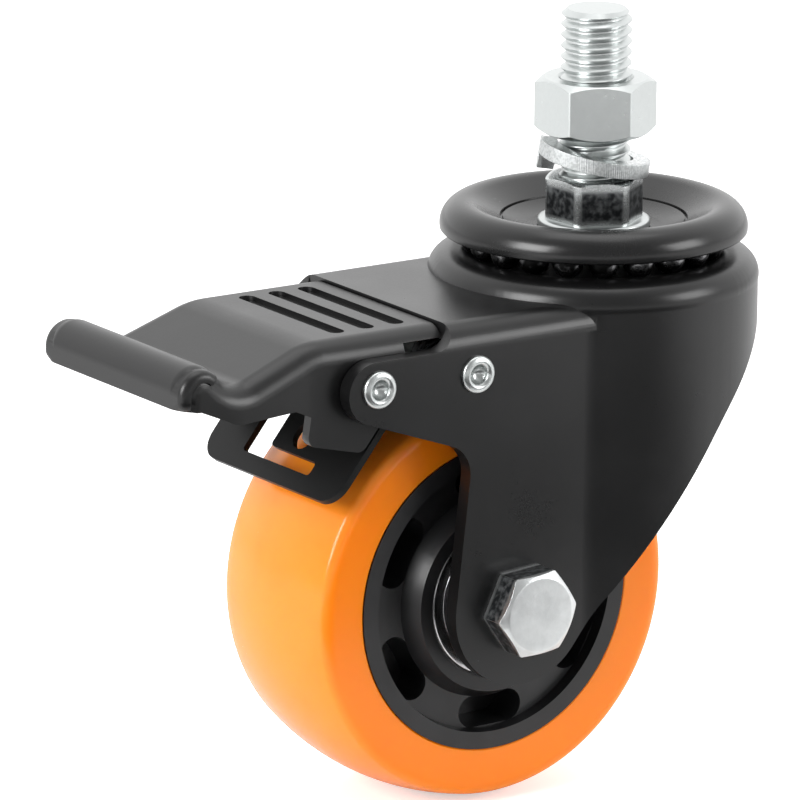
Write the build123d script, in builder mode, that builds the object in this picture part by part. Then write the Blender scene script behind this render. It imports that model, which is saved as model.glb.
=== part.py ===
"""Swivel castor: threaded stem, double ball raceway, pressed fork, brake pedal and a 3 inch wheel.

Millimetres, +Z up along the swivel axis. The origin is on that axis, on the top of the
hexagonal shoulder, which is the seat of the frame the castor is screwed into. The wheel trails
towards -X, and the brake pedal points the same way.
"""
import os
from math import cos, pi, radians, sin

from build123d import *

os.makedirs("parts", exist_ok=True)

# ---------------------------------------------------------------- driving dimensions
# overall layout
build_height = 107.55       # seat to floor
trail = 31.4                # swivel axis to wheel axis
run_gap = 0.3               # side clearance between parts that move past each other
race_gap = 0.05             # radial clearance of a ball in its race
fit_gap = 0.06              # radial running clearance of a pin in its hole

# wheel
wheel_d = 76.2              # 3 inch
tyre_width = 32.0
tyre_crown = 1.8            # fall of the tread from the middle to the shoulder
shoulder_w = 1.5            # width and height of the rounded shoulder
shoulder_h = 2.4
shoulder_round_tyre = 3.0
core_d = 55.5
rim_wall = 3.1
rim_proud = 0.1             # rim lip past the tyre's side
rim_draft = 0.4
web_sink = 2.1              # web below the rim lip
hub_d = 33.6
hub_foot = 1.8              # the boss spreads by this at its foot
hub_proud = 1.6             # hub boss past the rim lip
hub_bore = 25.0             # passage between the bearings
pocket_count = 6
pocket_first = 31.5         # direction of the first pocket
pocket_ring = 21.1          # radius of the pockets' middle line
pocket_len = 13.2
pocket_w = 5.8
pocket_depth = 8.0

# wheel bearings (12 x 28 x 8) and their sleeve
bearing_od = 28.0
bearing_w = 8.0
bearing_inset = 0.4         # bearing face below the hub boss
outer_ring_wall = 2.5
inner_ring_wall = 2.9
ring_chamfer = 0.4
bearing_ball_d = 4.76
bearing_ball_count = 8
shield_t = 0.5
shield_inset = 0.5
sleeve_d = 12.0
collar_d = 16.0
collar_len = 4.2            # bearing face to the fork's leg
bolt_gap = 0.1              # radial clearance of the bolt in leg and sleeve

# axle bolt (3/8 inch) and its lock nut
axle_d = 9.5
axle_af = 14.29
axle_head_h = 5.9
axle_nut_h = 8.6
axle_nut_collar = 2.6       # plain ring above the nut's hexagon
axle_tip = 1.6              # bolt past the nut
axle_turn = 4.7             # angle of the head's corner

# threaded stem (1/2 inch) with its forged shoulder
stem_d = 12.7
stem_length = 30.1
stem_chamfer = 1.1
shoulder_af = 15.9
shoulder_hex_h = 7.7
shoulder_round = 1.8
shoulder_top_cut = 0.3      # chamfer of the shoulder's top edge: inside the flats
shoulder_top_fall = 1.1     # and its fall to the corners
shoulder_turn = 5.8         # the shoulder's flats to the X axis
shoulder_flange_d = 20.2
shoulder_flange_t = 1.6
journal_d = 12.0
rivet_head_d = 17.0
rivet_head_h = 3.0

# nut and spring washer on the stem
nut_af = 19.0
nut_h = 10.0
nut_gap = 7.7               # underside of the nut above the seat
thread_pitch_d = 11.43      # stem and nut meet at the thread's pitch diameter
nut_mouth = 0.4             # the nut's countersink clears the stem by this
washer_d = 20.0
washer_bore = 13.8
washer_off = 0.36           # it hangs on the stem by its raised side
washer_t = 2.65
washer_pitch = 2.75         # rise in one turn
washer_turn = 375.0         # from its lower end to its upper end
washer_split = 155.0        # direction of the lower end
washer_tilt = 8.6           # the loose washer leans on the seat
washer_high = 146.4         # direction of its raised side

# upper race cup
cup_t = 2.5
cup_crest_r = 23.15
cup_crest_h = 4.53          # crest above the clamped middle
cup_roll = 4.3              # outside radius of the rolled rim
cup_cone = 28.0             # slope of the dish
cup_skirt = -10.0           # angle where the rolled rim ends
cup_crease_r = 16.5
cup_floor_r = 12.5

# swivel balls
race_ball_d = 5.56
race_ball_r = 21.2          # pitch radius
race_ball_count = 21
low_ball_d = 4.76
low_ball_r = 13.5
low_ball_count = 15
low_dish_d = 36.4
low_dish_t = 2.2
low_dish_rim = 2.3
crown_gap = 2.3             # clamped middle of the cup above the fork's crown

# pressed fork
sheet = 3.0
drum_r = 29.4
drum_fillet = 3.0           # inside the crown
race_lap = 58.0             # where the race groove stops, below the balls' equator
crown_rise = 0.6            # rim of the lower race above its floor
crown_rim_r = 25.96         # top of that rim
crown_rim_w = 1.7           # rim top to its outer edge
crown_rim_fall = 0.7
crown_bulge_r = 28.8        # rounded shoulder between rim and drum
crown_bulge_z = 1.2         # below the race floor
crown_foot_z = 4.5
neck_drop = 2.7             # top plate below the race floor
bend_r = 4.6
blend_r = 9.0               # side plate into the drum
plate_end = 46.2            # swivel axis to the end of the top plate
arm_r = 5.6                 # rounded end of the arm
arm_past_pin = 0.5          # centre of that round past the pin
arm_drop = 4.1              # top edge of the arm below the top plate
arm_slope = 19.6            # fall of the arm's lower edge
arm_step_r = 4.0            # arm's top edge up to the top plate
arm_leg_r = 6.0
leg_r = 14.0                # rounded end of the leg round the axle
leg_front_lean = 6.4
leg_rear_slope = 52.7
crown_slope = 43.6          # edge of the leg where it runs out to the back of the crown
crown_back = 6.1            # that edge below the race floor, at the drum
rear_blend_r = 60.0
kingpin_gap = 0.5

# pins: hollow rivets through arms and ears
pin_d = 5.0
pin_head_d = 6.7
pin_head_h = 0.9
pin_hollow_d = 3.3
pin_hollow_depth = 3.0
pedal_pin_x = 62.1
brake_pin_x = 41.5
pin_drop = 25.8             # both pins below the seat

# brake pedal
tread_sheet = 2.0
pedal_sink = 0.5            # pedal plate below the fork's top plate
pedal_gap = 0.4             # pedal to the end of the top plate
pedal_length = 54.7
pedal_bend = 4.0
pedal_flat = 26.9           # length of the flat part
pedal_fall = 20.5           # slope from the flat part down to the valley
pedal_knee_r = 16.0
valley_run = 16.0
valley_r = 5.5
lip_slope = 44.3            # rise from the valley to the lip
lip_r = 4.5
lip_wall = 2.3              # straight front face below the lip
lip_side = 1.3              # the lip is wider than the pedal by this on each side
flare_r = 40.0              # the pedal's sides curve out to the lip's width
flange_drop = 5.6           # side flange's lower edge below the valley's corner
flange_front = 4.0
strip_len = 8.0             # rear strip without side walls
strip_wall = 2.5            # end of the side wall below the strip
ear_front = 12.6            # front edge of the ear before the pin
ear_drop = 11.7             # lowest corner of the ear below the pin
ear_slope = 13.5            # its lower edge
ear_corner_r = 2.0
ear_root_r = 2.5
cam_low = 5.0               # the ear's rear edge bears on the brake plate from here
cam_high = 10.0             # to here, measured along the plate
groove_w = 3.0
groove_len = 31.0
groove_depth = 0.9
groove_pitch = 6.2
groove_first = 5.2          # first groove from the pedal's rear edge

# brake plate that the pedal's ears push against the tread
shoe_sheet = 1.2
shoe_slope = 51.5
shoe_clear = 4.9            # plate to tread, brake off
shoe_front = 5.6            # front edge before the point nearest the tread
shoe_top = 20.0             # upper edge past that point
shoe_corner = 4.5
shoe_bend = 2.6
shoe_flange_from = 12.0     # side flanges start here
shoe_eye_r = 5.0
slot_near = 10.5            # slot across the plate, from the middle to each side
slot_far = 10.5
slot_low = -2.2
slot_high = 0.5
slot_leg_w = 6.5            # short leg of the L
slot_leg_top = 9.0
slot_round = 0.8
shoe_hole_d = 5.6
shoe_hole_s = 4.4
shoe_hole_y = -3.2
cam_gap = 0.4               # ear to plate

# return spring on the brake plate's pin
wire_d = 1.4
coil_gap = 0.3
coil_turns = 4
coil_pitch = 1.7
coil_in = 2.6               # start of the coil inside the brake plate's ear
top_arm = 8.5               # reach of the arm under the fork's top plate
low_arm = 13.5              # reach of the arm under the brake plate
arm_bend_r = 4.0

# ---------------------------------------------------------------- derived places
wheel_r = wheel_d / 2
axle_x = -trail
axle_z = wheel_r - build_height
seat_floor = -shoulder_hex_h - shoulder_flange_t       # top of the cup's clamped middle
cup_under = seat_floor - cup_t
race_floor = cup_under - crown_gap                     # top of the fork's crown
crown_under = race_floor - sheet
race_r = race_ball_d / 2 + race_gap
race_ball_z = race_floor + race_r
plate_z = race_floor - neck_drop                       # top of the fork's top plate
bend_z = plate_z - bend_r                              # the side plates are flat below this
pedal_z = plate_z - pedal_sink                         # top of the pedal
half_tyre = tyre_width / 2
rim_y = half_tyre + rim_proud
hub_y = rim_y + hub_proud
bearing_y = hub_y - bearing_inset                      # outer face of the bearing
bearing_mid = bearing_y - bearing_w / 2
fork_inner = bearing_y + collar_len                    # inner face of the side plates
neck_half = fork_inner + sheet                         # half width over the side plates
inner_land = sleeve_d / 2 + inner_ring_wall
outer_land = bearing_od / 2 - outer_ring_wall
ball_ring = (inner_land + outer_land) / 2
web_y = rim_y - web_sink
pedal_pin = (-pedal_pin_x, -pin_drop)
brake_pin = (-brake_pin_x, -pin_drop)
ear_outer = fork_inner - run_gap                       # outer face of pedal and plate ears
ear_inner = ear_outer - tread_sheet
lip_half = ear_outer + lip_side
coil_from = ear_inner - coil_in                        # start of the coil, from the middle
shoe_n = wheel_r + shoe_clear                          # plate's lower face from the axle
axle_axis = Axis((axle_x, 0, axle_z), (0, 1, 0))
side_plane = Plane.XZ                                  # local X and Y are the part's X and Z
axle_side = Plane(origin=(axle_x, 0, axle_z), x_dir=(1, 0, 0), z_dir=(0, -1, 0))
axle_turning = Plane(origin=(axle_x, 0, axle_z), x_dir=(1, 0, 0), z_dir=(0, 0, 1))


def turned(radius, degrees, centre=(0.0, 0.0)):
    """Return the point at a radius and an angle from a centre."""
    return (centre[0] + radius * cos(radians(degrees)), centre[1] + radius * sin(radians(degrees)))


def crossing(p, p_deg, q, q_deg):
    """Return the point where two lines, each a point and a direction, cross."""
    ax, ay = cos(radians(p_deg)), sin(radians(p_deg))
    bx, by = cos(radians(q_deg)), sin(radians(q_deg))
    along = ((q[0] - p[0]) * by - (q[1] - p[1]) * bx) / (ax * by - ay * bx)
    return (p[0] + along * ax, p[1] + along * ay)


# ---------------------------------------------------------------- stem and its fasteners
journal_end = race_floor - sheet                       # lower race starts here
low_ball_z = journal_end - race_gap - low_ball_d / 2
dish_floor = low_ball_z - low_ball_d / 2 + 1.3         # the lower balls sit 1.3 mm deep
dish_under = dish_floor - low_dish_t
nut_top = nut_gap + nut_h
thread_depth = (stem_d - thread_pitch_d) / 2

with BuildPart() as threaded_stem:
    with BuildSketch(side_plane):
        with BuildLine():
            Polyline(
                (0, stem_length),
                (stem_d / 2 - stem_chamfer, stem_length),
                (stem_d / 2, stem_length - stem_chamfer),
                (stem_d / 2, nut_top),
                (thread_pitch_d / 2, nut_top - thread_depth),
                (thread_pitch_d / 2, nut_gap + thread_depth),
                (stem_d / 2, nut_gap),
                (stem_d / 2, -shoulder_hex_h),
                (shoulder_flange_d / 2 - 0.5, -shoulder_hex_h),
                (shoulder_flange_d / 2, -shoulder_hex_h - 0.5),
                (shoulder_flange_d / 2, seat_floor + 0.5),
                (shoulder_flange_d / 2 - 0.5, seat_floor),
                (journal_d / 2, seat_floor),
                (journal_d / 2, dish_under),
                (rivet_head_d / 2, dish_under),
                (rivet_head_d / 2, dish_under - rivet_head_h / 3),
                (rivet_head_d / 3, dish_under - rivet_head_h),
                (0, dish_under - rivet_head_h),
                close=True,
            )
        make_face()
    revolve(axis=Axis.Z)
with BuildPart() as hex_shoulder:
    with BuildSketch(Plane.XY.offset(-shoulder_hex_h)):
        RegularPolygon(
            shoulder_af / 2, 6, major_radius=False, rotation=shoulder_turn + 30
        )
        fillet(vertices(), radius=shoulder_round)
    extrude(amount=shoulder_hex_h)
    with BuildSketch(side_plane):
        with BuildLine():
            Polyline(
                (0, 0),
                (shoulder_af / 2 - shoulder_top_cut, 0),
                (shoulder_af / 2 + 1.6, -shoulder_top_fall),
                (shoulder_af / 2 + 1.6, -shoulder_hex_h),
                (0, -shoulder_hex_h),
                close=True,
            )
        make_face()
    revolve(axis=Axis.Z, mode=Mode.INTERSECT)
with BuildPart() as stem:
    add(threaded_stem.part)
    add(hex_shoulder.part)
stem.part.label = "threaded_stem"
export_step(stem.part, "parts/threaded_stem.step")

with BuildPart() as stem_nut:
    with BuildSketch(Plane.XY.offset(nut_gap)):
        RegularPolygon(nut_af / 2, 6, major_radius=False, rotation=30)
    extrude(amount=nut_h)
    with BuildSketch(side_plane):
        with BuildLine():
            Polyline(
                (stem_d / 2 + nut_mouth, nut_gap),
                (nut_af / 2 - 0.1, nut_gap),
                (nut_af / 2 + 1.5, nut_gap + 0.9),
                (nut_af / 2 + 1.5, nut_top - 0.9),
                (nut_af / 2 - 0.1, nut_top),
                (stem_d / 2 + nut_mouth, nut_top),
                (thread_pitch_d / 2 + fit_gap, nut_top - thread_depth - nut_mouth + fit_gap),
                (thread_pitch_d / 2 + fit_gap, nut_gap + thread_depth + nut_mouth - fit_gap),
                close=True,
            )
        make_face()
    revolve(axis=Axis.Z, mode=Mode.INTERSECT)
stem_nut.part.label = "stem_nut"
export_step(stem_nut.part, "parts/stem_nut.step")

# spring washer: one open left-hand turn, loose on the stem and leaning on the seat
washer_r = (washer_d + washer_bore) / 4
seat_r = shoulder_af / 2 - shoulder_top_cut             # flat round top of the shoulder
washer_c = (
    washer_t / 2
    + 0.97 * seat_r * sin(radians(washer_tilt))
    - 0.486 * washer_pitch
    + 0.03
)
high_x = cos(radians(washer_high)) * sin(radians(washer_tilt))
high_y = sin(radians(washer_high)) * sin(radians(washer_tilt))
washer_plane = Plane(
    origin=(*turned(washer_off, washer_high), washer_c),
    x_dir=(cos(radians(washer_split)), sin(radians(washer_split)), 0),
    z_dir=(-high_x, -high_y, cos(radians(washer_tilt))),
)
washer_line = washer_plane * Helix(
    pitch=washer_pitch, height=washer_pitch * washer_turn / 360, radius=washer_r, lefthand=True
)
with BuildPart() as spring_washer:
    with BuildSketch(
        Plane(origin=washer_line @ 0, z_dir=washer_line % 0, x_dir=washer_plane.z_dir)
    ):
        Rectangle(washer_t, (washer_d - washer_bore) / 2)
    sweep(path=washer_line, is_frenet=True)
spring_washer.part.label = "spring_washer"
export_step(spring_washer.part, "parts/spring_washer.step")

# ---------------------------------------------------------------- swivel race
crest = (cup_crest_r, seat_floor + cup_crest_h)
roll_centre = (cup_crest_r, crest[1] - cup_roll)
roll_in = cup_roll - cup_t
dish_top = turned(cup_roll, 90 + cup_cone, roll_centre)
dish_top_in = turned(roll_in, 90 + cup_cone, roll_centre)
crease = crossing(dish_top, cup_cone, (cup_crease_r, 0), 90)
crease_in = crossing(dish_top_in, cup_cone, (0, cup_under), 0)
with BuildPart() as race_cup:
    with BuildSketch(side_plane):
        with BuildLine():
            Line((journal_d / 2, cup_under), crease_in)
            Line(crease_in, dish_top_in)
            ThreePointArc(
                dish_top_in, turned(roll_in, 60, roll_centre), turned(roll_in, cup_skirt, roll_centre)
            )
            Line(
                turned(roll_in, cup_skirt, roll_centre), turned(cup_roll, cup_skirt, roll_centre)
            )
            ThreePointArc(
                turned(cup_roll, cup_skirt, roll_centre), turned(cup_roll, 60, roll_centre), dish_top
            )
            Line(dish_top, crease)
            Line(crease, (cup_crease_r - 0.5, crease[1] - 0.5))
            Line((cup_crease_r - 0.5, crease[1] - 0.5), (cup_floor_r, seat_floor))
            Line((cup_floor_r, seat_floor), (journal_d / 2, seat_floor))
            Line((journal_d / 2, seat_floor), (journal_d / 2, cup_under))
        make_face()
    revolve(axis=Axis.Z)
race_cup.part.label = "race_cup"
export_step(race_cup.part, "parts/race_cup.step")

with BuildPart() as race_balls:
    with Locations((0, 0, race_ball_z)):
        with PolarLocations(race_ball_r, race_ball_count):
            Sphere(race_ball_d / 2)
race_balls.part.label = "race_balls"
export_step(race_balls.part, "parts/race_balls.step")

with BuildPart() as lower_race_balls:
    with Locations((0, 0, low_ball_z)):
        with PolarLocations(low_ball_r, low_ball_count):
            Sphere(low_ball_d / 2)
lower_race_balls.part.label = "lower_race_balls"
export_step(lower_race_balls.part, "parts/lower_race_balls.step")

groove = low_ball_d / 2 + race_gap
groove_half = (groove**2 - (low_ball_z - dish_floor) ** 2) ** 0.5
dish_out = low_dish_d / 2
with BuildPart() as lower_race_dish:
    with BuildSketch(side_plane):
        with BuildLine():
            Line((journal_d / 2, dish_under), (journal_d / 2, dish_floor))
            Line((journal_d / 2, dish_floor), (low_ball_r - groove_half, dish_floor))
            ThreePointArc(
                (low_ball_r - groove_half, dish_floor),
                (low_ball_r, low_ball_z - groove),
                (low_ball_r + groove_half, dish_floor),
            )
            Line((low_ball_r + groove_half, dish_floor), (dish_out - low_dish_t, dish_floor))
            Line((dish_out - low_dish_t, dish_floor), (dish_out - low_dish_t, dish_floor + low_dish_rim))
            Line((dish_out - low_dish_t, dish_floor + low_dish_rim), (dish_out, dish_floor + low_dish_rim))
            Line((dish_out, dish_floor + low_dish_rim), (dish_out, dish_under + 1.5))
            Line((dish_out, dish_under + 1.5), (dish_out - 1.5, dish_under))
            Line((dish_out - 1.5, dish_under), (journal_d / 2, dish_under))
        make_face()
    revolve(axis=Axis.Z)
lower_race_dish.part.label = "lower_race_dish"
export_step(lower_race_dish.part, "parts/lower_race_dish.step")
# ---------------------------------------------------------------- pressed fork
past = 6.0                                             # tool bodies run past the part by this
far_x = -pedal_pin_x - arm_past_pin - arm_r - past
low_z = axle_z - leg_r - past
race_end = turned(race_r, -race_lap, (race_ball_r, race_ball_z))
rim_top = (crown_rim_r, race_floor + crown_rise)
rim_out = (crown_rim_r + crown_rim_w, rim_top[1] - crown_rim_fall)
drum_in = drum_r - sheet
nose = (pedal_pin[0] - arm_past_pin, plate_z - arm_drop - arm_r)
arm_under = turned(arm_r, -90 - arm_slope, nose)
arm_end = turned(arm_r, 180, nose)
arm_top = plate_z - arm_drop
leg_front = turned(leg_r, 180 - leg_front_lean, (axle_x, axle_z))
leg_rear = turned(leg_r, leg_rear_slope - 90, (axle_x, axle_z))
armpit = crossing(arm_under, -arm_slope, leg_front, 90 - leg_front_lean)
crown_edge = (drum_r, race_floor - crown_back)
rear_corner = crossing(leg_rear, leg_rear_slope, crown_edge, crown_slope)
crown_out = (drum_r + past, crown_edge[1] + past * sin(radians(crown_slope)) / cos(radians(crown_slope)))

with BuildPart() as yoke_outside:
    with BuildSketch(side_plane):
        with BuildLine():
            Line((0, bend_z), (0, race_floor))
            Line((0, race_floor), (race_ball_r, race_floor))
            ThreePointArc(
                (race_ball_r, race_floor),
                turned(race_r, -45 - race_lap / 2, (race_ball_r, race_ball_z)),
                race_end,
            )
            ThreePointArc(race_end, rim_top, rim_out)
            ThreePointArc(
                rim_out,
                (crown_bulge_r, race_floor - crown_bulge_z),
                (drum_r, race_floor - crown_foot_z),
            )
            Line((drum_r, race_floor - crown_foot_z), (drum_r, bend_z))
            Line((drum_r, bend_z), (0, bend_z))
        make_face()
    revolve(axis=Axis.Z)
    with BuildSketch(Plane.YZ.offset(far_x)):
        with BuildLine():
            Line((-neck_half, bend_z), (neck_half, bend_z))
            RadiusArc((neck_half, bend_z), (neck_half - bend_r, plate_z), -bend_r)
            Line((neck_half - bend_r, plate_z), (bend_r - neck_half, plate_z))
            RadiusArc((bend_r - neck_half, plate_z), (-neck_half, bend_z), -bend_r)
        make_face()
    extrude(amount=-far_x)
    with BuildSketch(Plane.XY.offset(low_z)) as plan:
        Circle(drum_r)
        with Locations((far_x / 2, 0)):
            Rectangle(-far_x, 2 * neck_half)
        fillet(plan.vertices().group_by(Axis.X)[1], radius=blend_r)
    extrude(amount=bend_z - low_z)

with BuildPart() as yoke_inside:
    with BuildSketch(side_plane):
        with BuildLine():
            Polyline(
                (drum_in, bend_z), (0, bend_z), (0, crown_under), (drum_in - drum_fillet, crown_under)
            )
            RadiusArc(
                (drum_in - drum_fillet, crown_under),
                (drum_in, crown_under - drum_fillet),
                drum_fillet,
            )
            Line((drum_in, crown_under - drum_fillet), (drum_in, bend_z))
        make_face()
    revolve(axis=Axis.Z)
    with BuildSketch(Plane.YZ.offset(far_x)):
        with BuildLine():
            Line((-fork_inner, bend_z), (fork_inner, bend_z))
            RadiusArc((fork_inner, bend_z), (neck_half - bend_r, plate_z - sheet), sheet - bend_r)
            Line((neck_half - bend_r, plate_z - sheet), (bend_r - neck_half, plate_z - sheet))
            RadiusArc((bend_r - neck_half, plate_z - sheet), (-fork_inner, bend_z), sheet - bend_r)
        make_face()
    extrude(amount=-far_x)
    with BuildSketch(Plane.XY.offset(low_z)) as inner_plan:
        Circle(drum_in)
        with Locations((far_x / 2, 0)):
            Rectangle(-far_x, 2 * fork_inner)
        fillet(inner_plan.vertices().group_by(Axis.X)[1], radius=blend_r + sheet)
    extrude(amount=bend_z - low_z)

with BuildPart() as fork_yoke:
    add(yoke_outside.part)
    add(yoke_inside.part, mode=Mode.SUBTRACT)
    with BuildSketch(side_plane) as outline:
        with BuildLine():
            ThreePointArc(arm_under, arm_end, (nose[0], arm_top))
            Polyline(
                (nose[0], arm_top),
                (-plate_end, arm_top),
                (-plate_end, rim_top[1] + past),
                (crown_out[0], rim_top[1] + past),
                crown_out,
                rear_corner,
                leg_rear,
            )
            ThreePointArc(leg_rear, turned(leg_r, -90, (axle_x, axle_z)), leg_front)
            Polyline(leg_front, armpit, arm_under)
        make_face()
        fillet(outline.vertices().sort_by_distance((-plate_end, arm_top))[0], radius=arm_step_r)
        fillet(outline.vertices().sort_by_distance(armpit)[0], radius=arm_leg_r)
        fillet(outline.vertices().sort_by_distance(rear_corner)[0], radius=rear_blend_r)
    extrude(amount=drum_r + past, both=True, mode=Mode.INTERSECT)
    with BuildSketch(side_plane):
        with Locations((axle_x, axle_z)):
            Circle(axle_d / 2 + bolt_gap)
        with Locations(pedal_pin, brake_pin):
            Circle(pin_d / 2)
    extrude(amount=drum_r + past, both=True, mode=Mode.SUBTRACT)
    with BuildSketch(Plane.XY):
        Circle(journal_d / 2 + kingpin_gap)
        with Locations(((far_x - plate_end) / 2, 0)):
            Rectangle(-plate_end - far_x, 2 * fork_inner)
    extrude(amount=bend_z, mode=Mode.SUBTRACT)
fork_yoke.part.label = "fork_yoke"
export_step(fork_yoke.part, "parts/fork_yoke.step")

# ---------------------------------------------------------------- axle
with BuildPart() as axle_bolt:
    with BuildSketch(axle_side.offset(neck_half)):
        RegularPolygon(axle_af / 2, 6, major_radius=False, rotation=axle_turn)
    extrude(amount=axle_head_h)
    with BuildSketch(axle_turning):
        with BuildLine():
            Polyline(
                (0, -neck_half),
                (axle_af / 2 + past, -neck_half),
                (axle_af / 2 + past, -neck_half - axle_head_h + 2.6),
                (axle_af / 2 - 0.7, -neck_half - axle_head_h),
                (0, -neck_half - axle_head_h),
                close=True,
            )
        make_face()
    revolve(axis=axle_axis, mode=Mode.INTERSECT)
    with BuildSketch(axle_side.offset(neck_half)):
        Circle(axle_d / 2)
    extrude(amount=-2 * neck_half - axle_nut_h - axle_tip)
    chamfer(axle_bolt.edges().sort_by(Axis.Y)[-1], length=0.8)
axle_bolt.part.label = "axle_bolt"
export_step(axle_bolt.part, "parts/axle_bolt.step")

with BuildPart() as axle_locknut:
    with BuildSketch(axle_side.offset(-neck_half)):
        RegularPolygon(axle_af / 2, 6, major_radius=False, rotation=axle_turn)
    extrude(amount=-axle_nut_h + axle_nut_collar)
    with BuildSketch(axle_turning):
        with BuildLine():
            Polyline(
                (0, neck_half),
                (axle_af / 2 - 0.2, neck_half),
                (axle_af / 2 + 1.2, neck_half + 0.8),
                (axle_af / 2 + 1.2, neck_half + axle_nut_h - axle_nut_collar),
                (0, neck_half + axle_nut_h - axle_nut_collar),
                close=True,
            )
        make_face()
    revolve(axis=axle_axis, mode=Mode.INTERSECT)
    with BuildSketch(axle_side.offset(-neck_half - axle_nut_h)):
        Circle(axle_af / 2 - 0.6)
    extrude(amount=axle_nut_collar)
    fillet(axle_locknut.edges().filter_by(GeomType.CIRCLE).sort_by(Axis.Y)[-1], radius=1.0)
    with BuildSketch(axle_side.offset(-neck_half)):
        Circle(axle_d / 2)
    extrude(amount=-axle_nut_h, mode=Mode.SUBTRACT)
axle_locknut.part.label = "axle_locknut"
export_step(axle_locknut.part, "parts/axle_locknut.step")

with BuildPart() as axle_sleeve:
    with BuildSketch(axle_side):
        Circle(sleeve_d / 2)
        Circle(axle_d / 2 + bolt_gap, mode=Mode.SUBTRACT)
    extrude(amount=fork_inner, both=True)
axle_sleeve.part.label = "axle_sleeve"
export_step(axle_sleeve.part, "parts/axle_sleeve.step")

with BuildPart() as axle_collars:
    with BuildSketch(axle_side.offset(bearing_y)):
        Circle(collar_d / 2)
        Circle(sleeve_d / 2, mode=Mode.SUBTRACT)
    extrude(amount=fork_inner - bearing_y)
    mirror(about=side_plane)
axle_collars.part.label = "axle_collars"
export_step(axle_collars.part, "parts/axle_collars.step")

# ---------------------------------------------------------------- wheel and its bearings
with BuildPart() as wheel_core:
    with BuildSketch(axle_turning):
        with BuildLine():
            Polyline(
                (hub_bore / 2, 0),
                (hub_bore / 2, bearing_y - bearing_w),
                (bearing_od / 2, bearing_y - bearing_w),
                (bearing_od / 2, hub_y - ring_chamfer),
                (bearing_od / 2 + ring_chamfer, hub_y),
                (hub_d / 2, hub_y),
                (hub_d / 2 + hub_foot, web_y),
                (core_d / 2 - rim_wall - rim_draft, web_y),
                (core_d / 2 - rim_wall, rim_y),
                (core_d / 2, rim_y),
                (core_d / 2, 0),
                close=True,
            )
        make_face()
        mirror(about=Plane.XZ)
    revolve(axis=axle_axis)
    for side in (-1, 1):
        with BuildSketch(axle_side.offset(side * web_y)):
            with PolarLocations(pocket_ring, pocket_count, start_angle=pocket_first):
                SlotOverall(pocket_len, pocket_w, rotation=90)
        extrude(amount=-side * pocket_depth, mode=Mode.SUBTRACT)
wheel_core.part.label = "wheel_core"
export_step(wheel_core.part, "parts/wheel_core.step")

crown_in = wheel_r - tyre_crown
with BuildPart() as tyre:
    with BuildSketch(axle_turning) as tyre_profile:
        with BuildLine():
            Line((core_d / 2, -half_tyre), (core_d / 2, half_tyre))
            Line((core_d / 2, half_tyre), (crown_in - shoulder_h, half_tyre))
            TangentArc(
                (crown_in - shoulder_h, half_tyre),
                (crown_in, half_tyre - shoulder_w),
                tangent=(1, 0),
            )
            ThreePointArc(
                (crown_in, half_tyre - shoulder_w), (wheel_r, 0), (crown_in, shoulder_w - half_tyre)
            )
            TangentArc(
                (crown_in - shoulder_h, -half_tyre),
                (crown_in, shoulder_w - half_tyre),
                tangent=(1, 0),
            )
            Line((crown_in - shoulder_h, -half_tyre), (core_d / 2, -half_tyre))
        make_face()
        creases = tyre_profile.vertices().filter_by(
            lambda v: v.distance_to(Vertex(crown_in + axle_x, half_tyre - shoulder_w, axle_z)) < 0.1
            or v.distance_to(Vertex(crown_in + axle_x, shoulder_w - half_tyre, axle_z)) < 0.1
        )
        fillet(creases, radius=shoulder_round_tyre)
    revolve(axis=axle_axis)
tyre.part.label = "tyre"
export_step(tyre.part, "parts/tyre.step")

bearing_ball = bearing_ball_d / 2
ball_race = bearing_ball + race_gap
race_half = (ball_race**2 - (outer_land - ball_ring) ** 2) ** 0.5
near = (ball_ring, bearing_mid)
with BuildPart() as bearing_outer_rings:
    with BuildSketch(axle_turning):
        with BuildLine():
            Line((outer_land, bearing_mid - race_half), (outer_land, bearing_y - bearing_w))
            Polyline(
                (outer_land, bearing_y - bearing_w),
                (bearing_od / 2, bearing_y - bearing_w),
                (bearing_od / 2, bearing_y - ring_chamfer),
                (bearing_od / 2 - ring_chamfer, bearing_y),
                (outer_land, bearing_y),
                (outer_land, bearing_mid + race_half),
            )
            ThreePointArc(
                (outer_land, bearing_mid + race_half),
                (ball_ring + ball_race, bearing_mid),
                (outer_land, bearing_mid - race_half),
            )
        make_face()
        mirror(about=Plane.XZ)
    revolve(axis=axle_axis)
bearing_outer_rings.part.label = "bearing_outer_rings"
export_step(bearing_outer_rings.part, "parts/bearing_outer_rings.step")

with BuildPart() as bearing_inner_rings:
    with BuildSketch(axle_turning):
        with BuildLine():
            Line((inner_land, bearing_mid + race_half), (inner_land, bearing_y))
            Polyline(
                (inner_land, bearing_y),
                (sleeve_d / 2, bearing_y),
                (sleeve_d / 2, bearing_y - bearing_w),
                (inner_land, bearing_y - bearing_w),
                (inner_land, bearing_mid - race_half),
            )
            ThreePointArc(
                (inner_land, bearing_mid - race_half),
                (ball_ring - ball_race, bearing_mid),
                (inner_land, bearing_mid + race_half),
            )
        make_face()
        mirror(about=Plane.XZ)
    revolve(axis=axle_axis)
bearing_inner_rings.part.label = "bearing_inner_rings"
export_step(bearing_inner_rings.part, "parts/bearing_inner_rings.step")

with BuildPart() as bearing_balls:
    for side in (-1, 1):
        with Locations(axle_side.offset(side * bearing_mid)):
            with PolarLocations(ball_ring, bearing_ball_count):
                Sphere(bearing_ball)
bearing_balls.part.label = "bearing_balls"
export_step(bearing_balls.part, "parts/bearing_balls.step")

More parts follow.
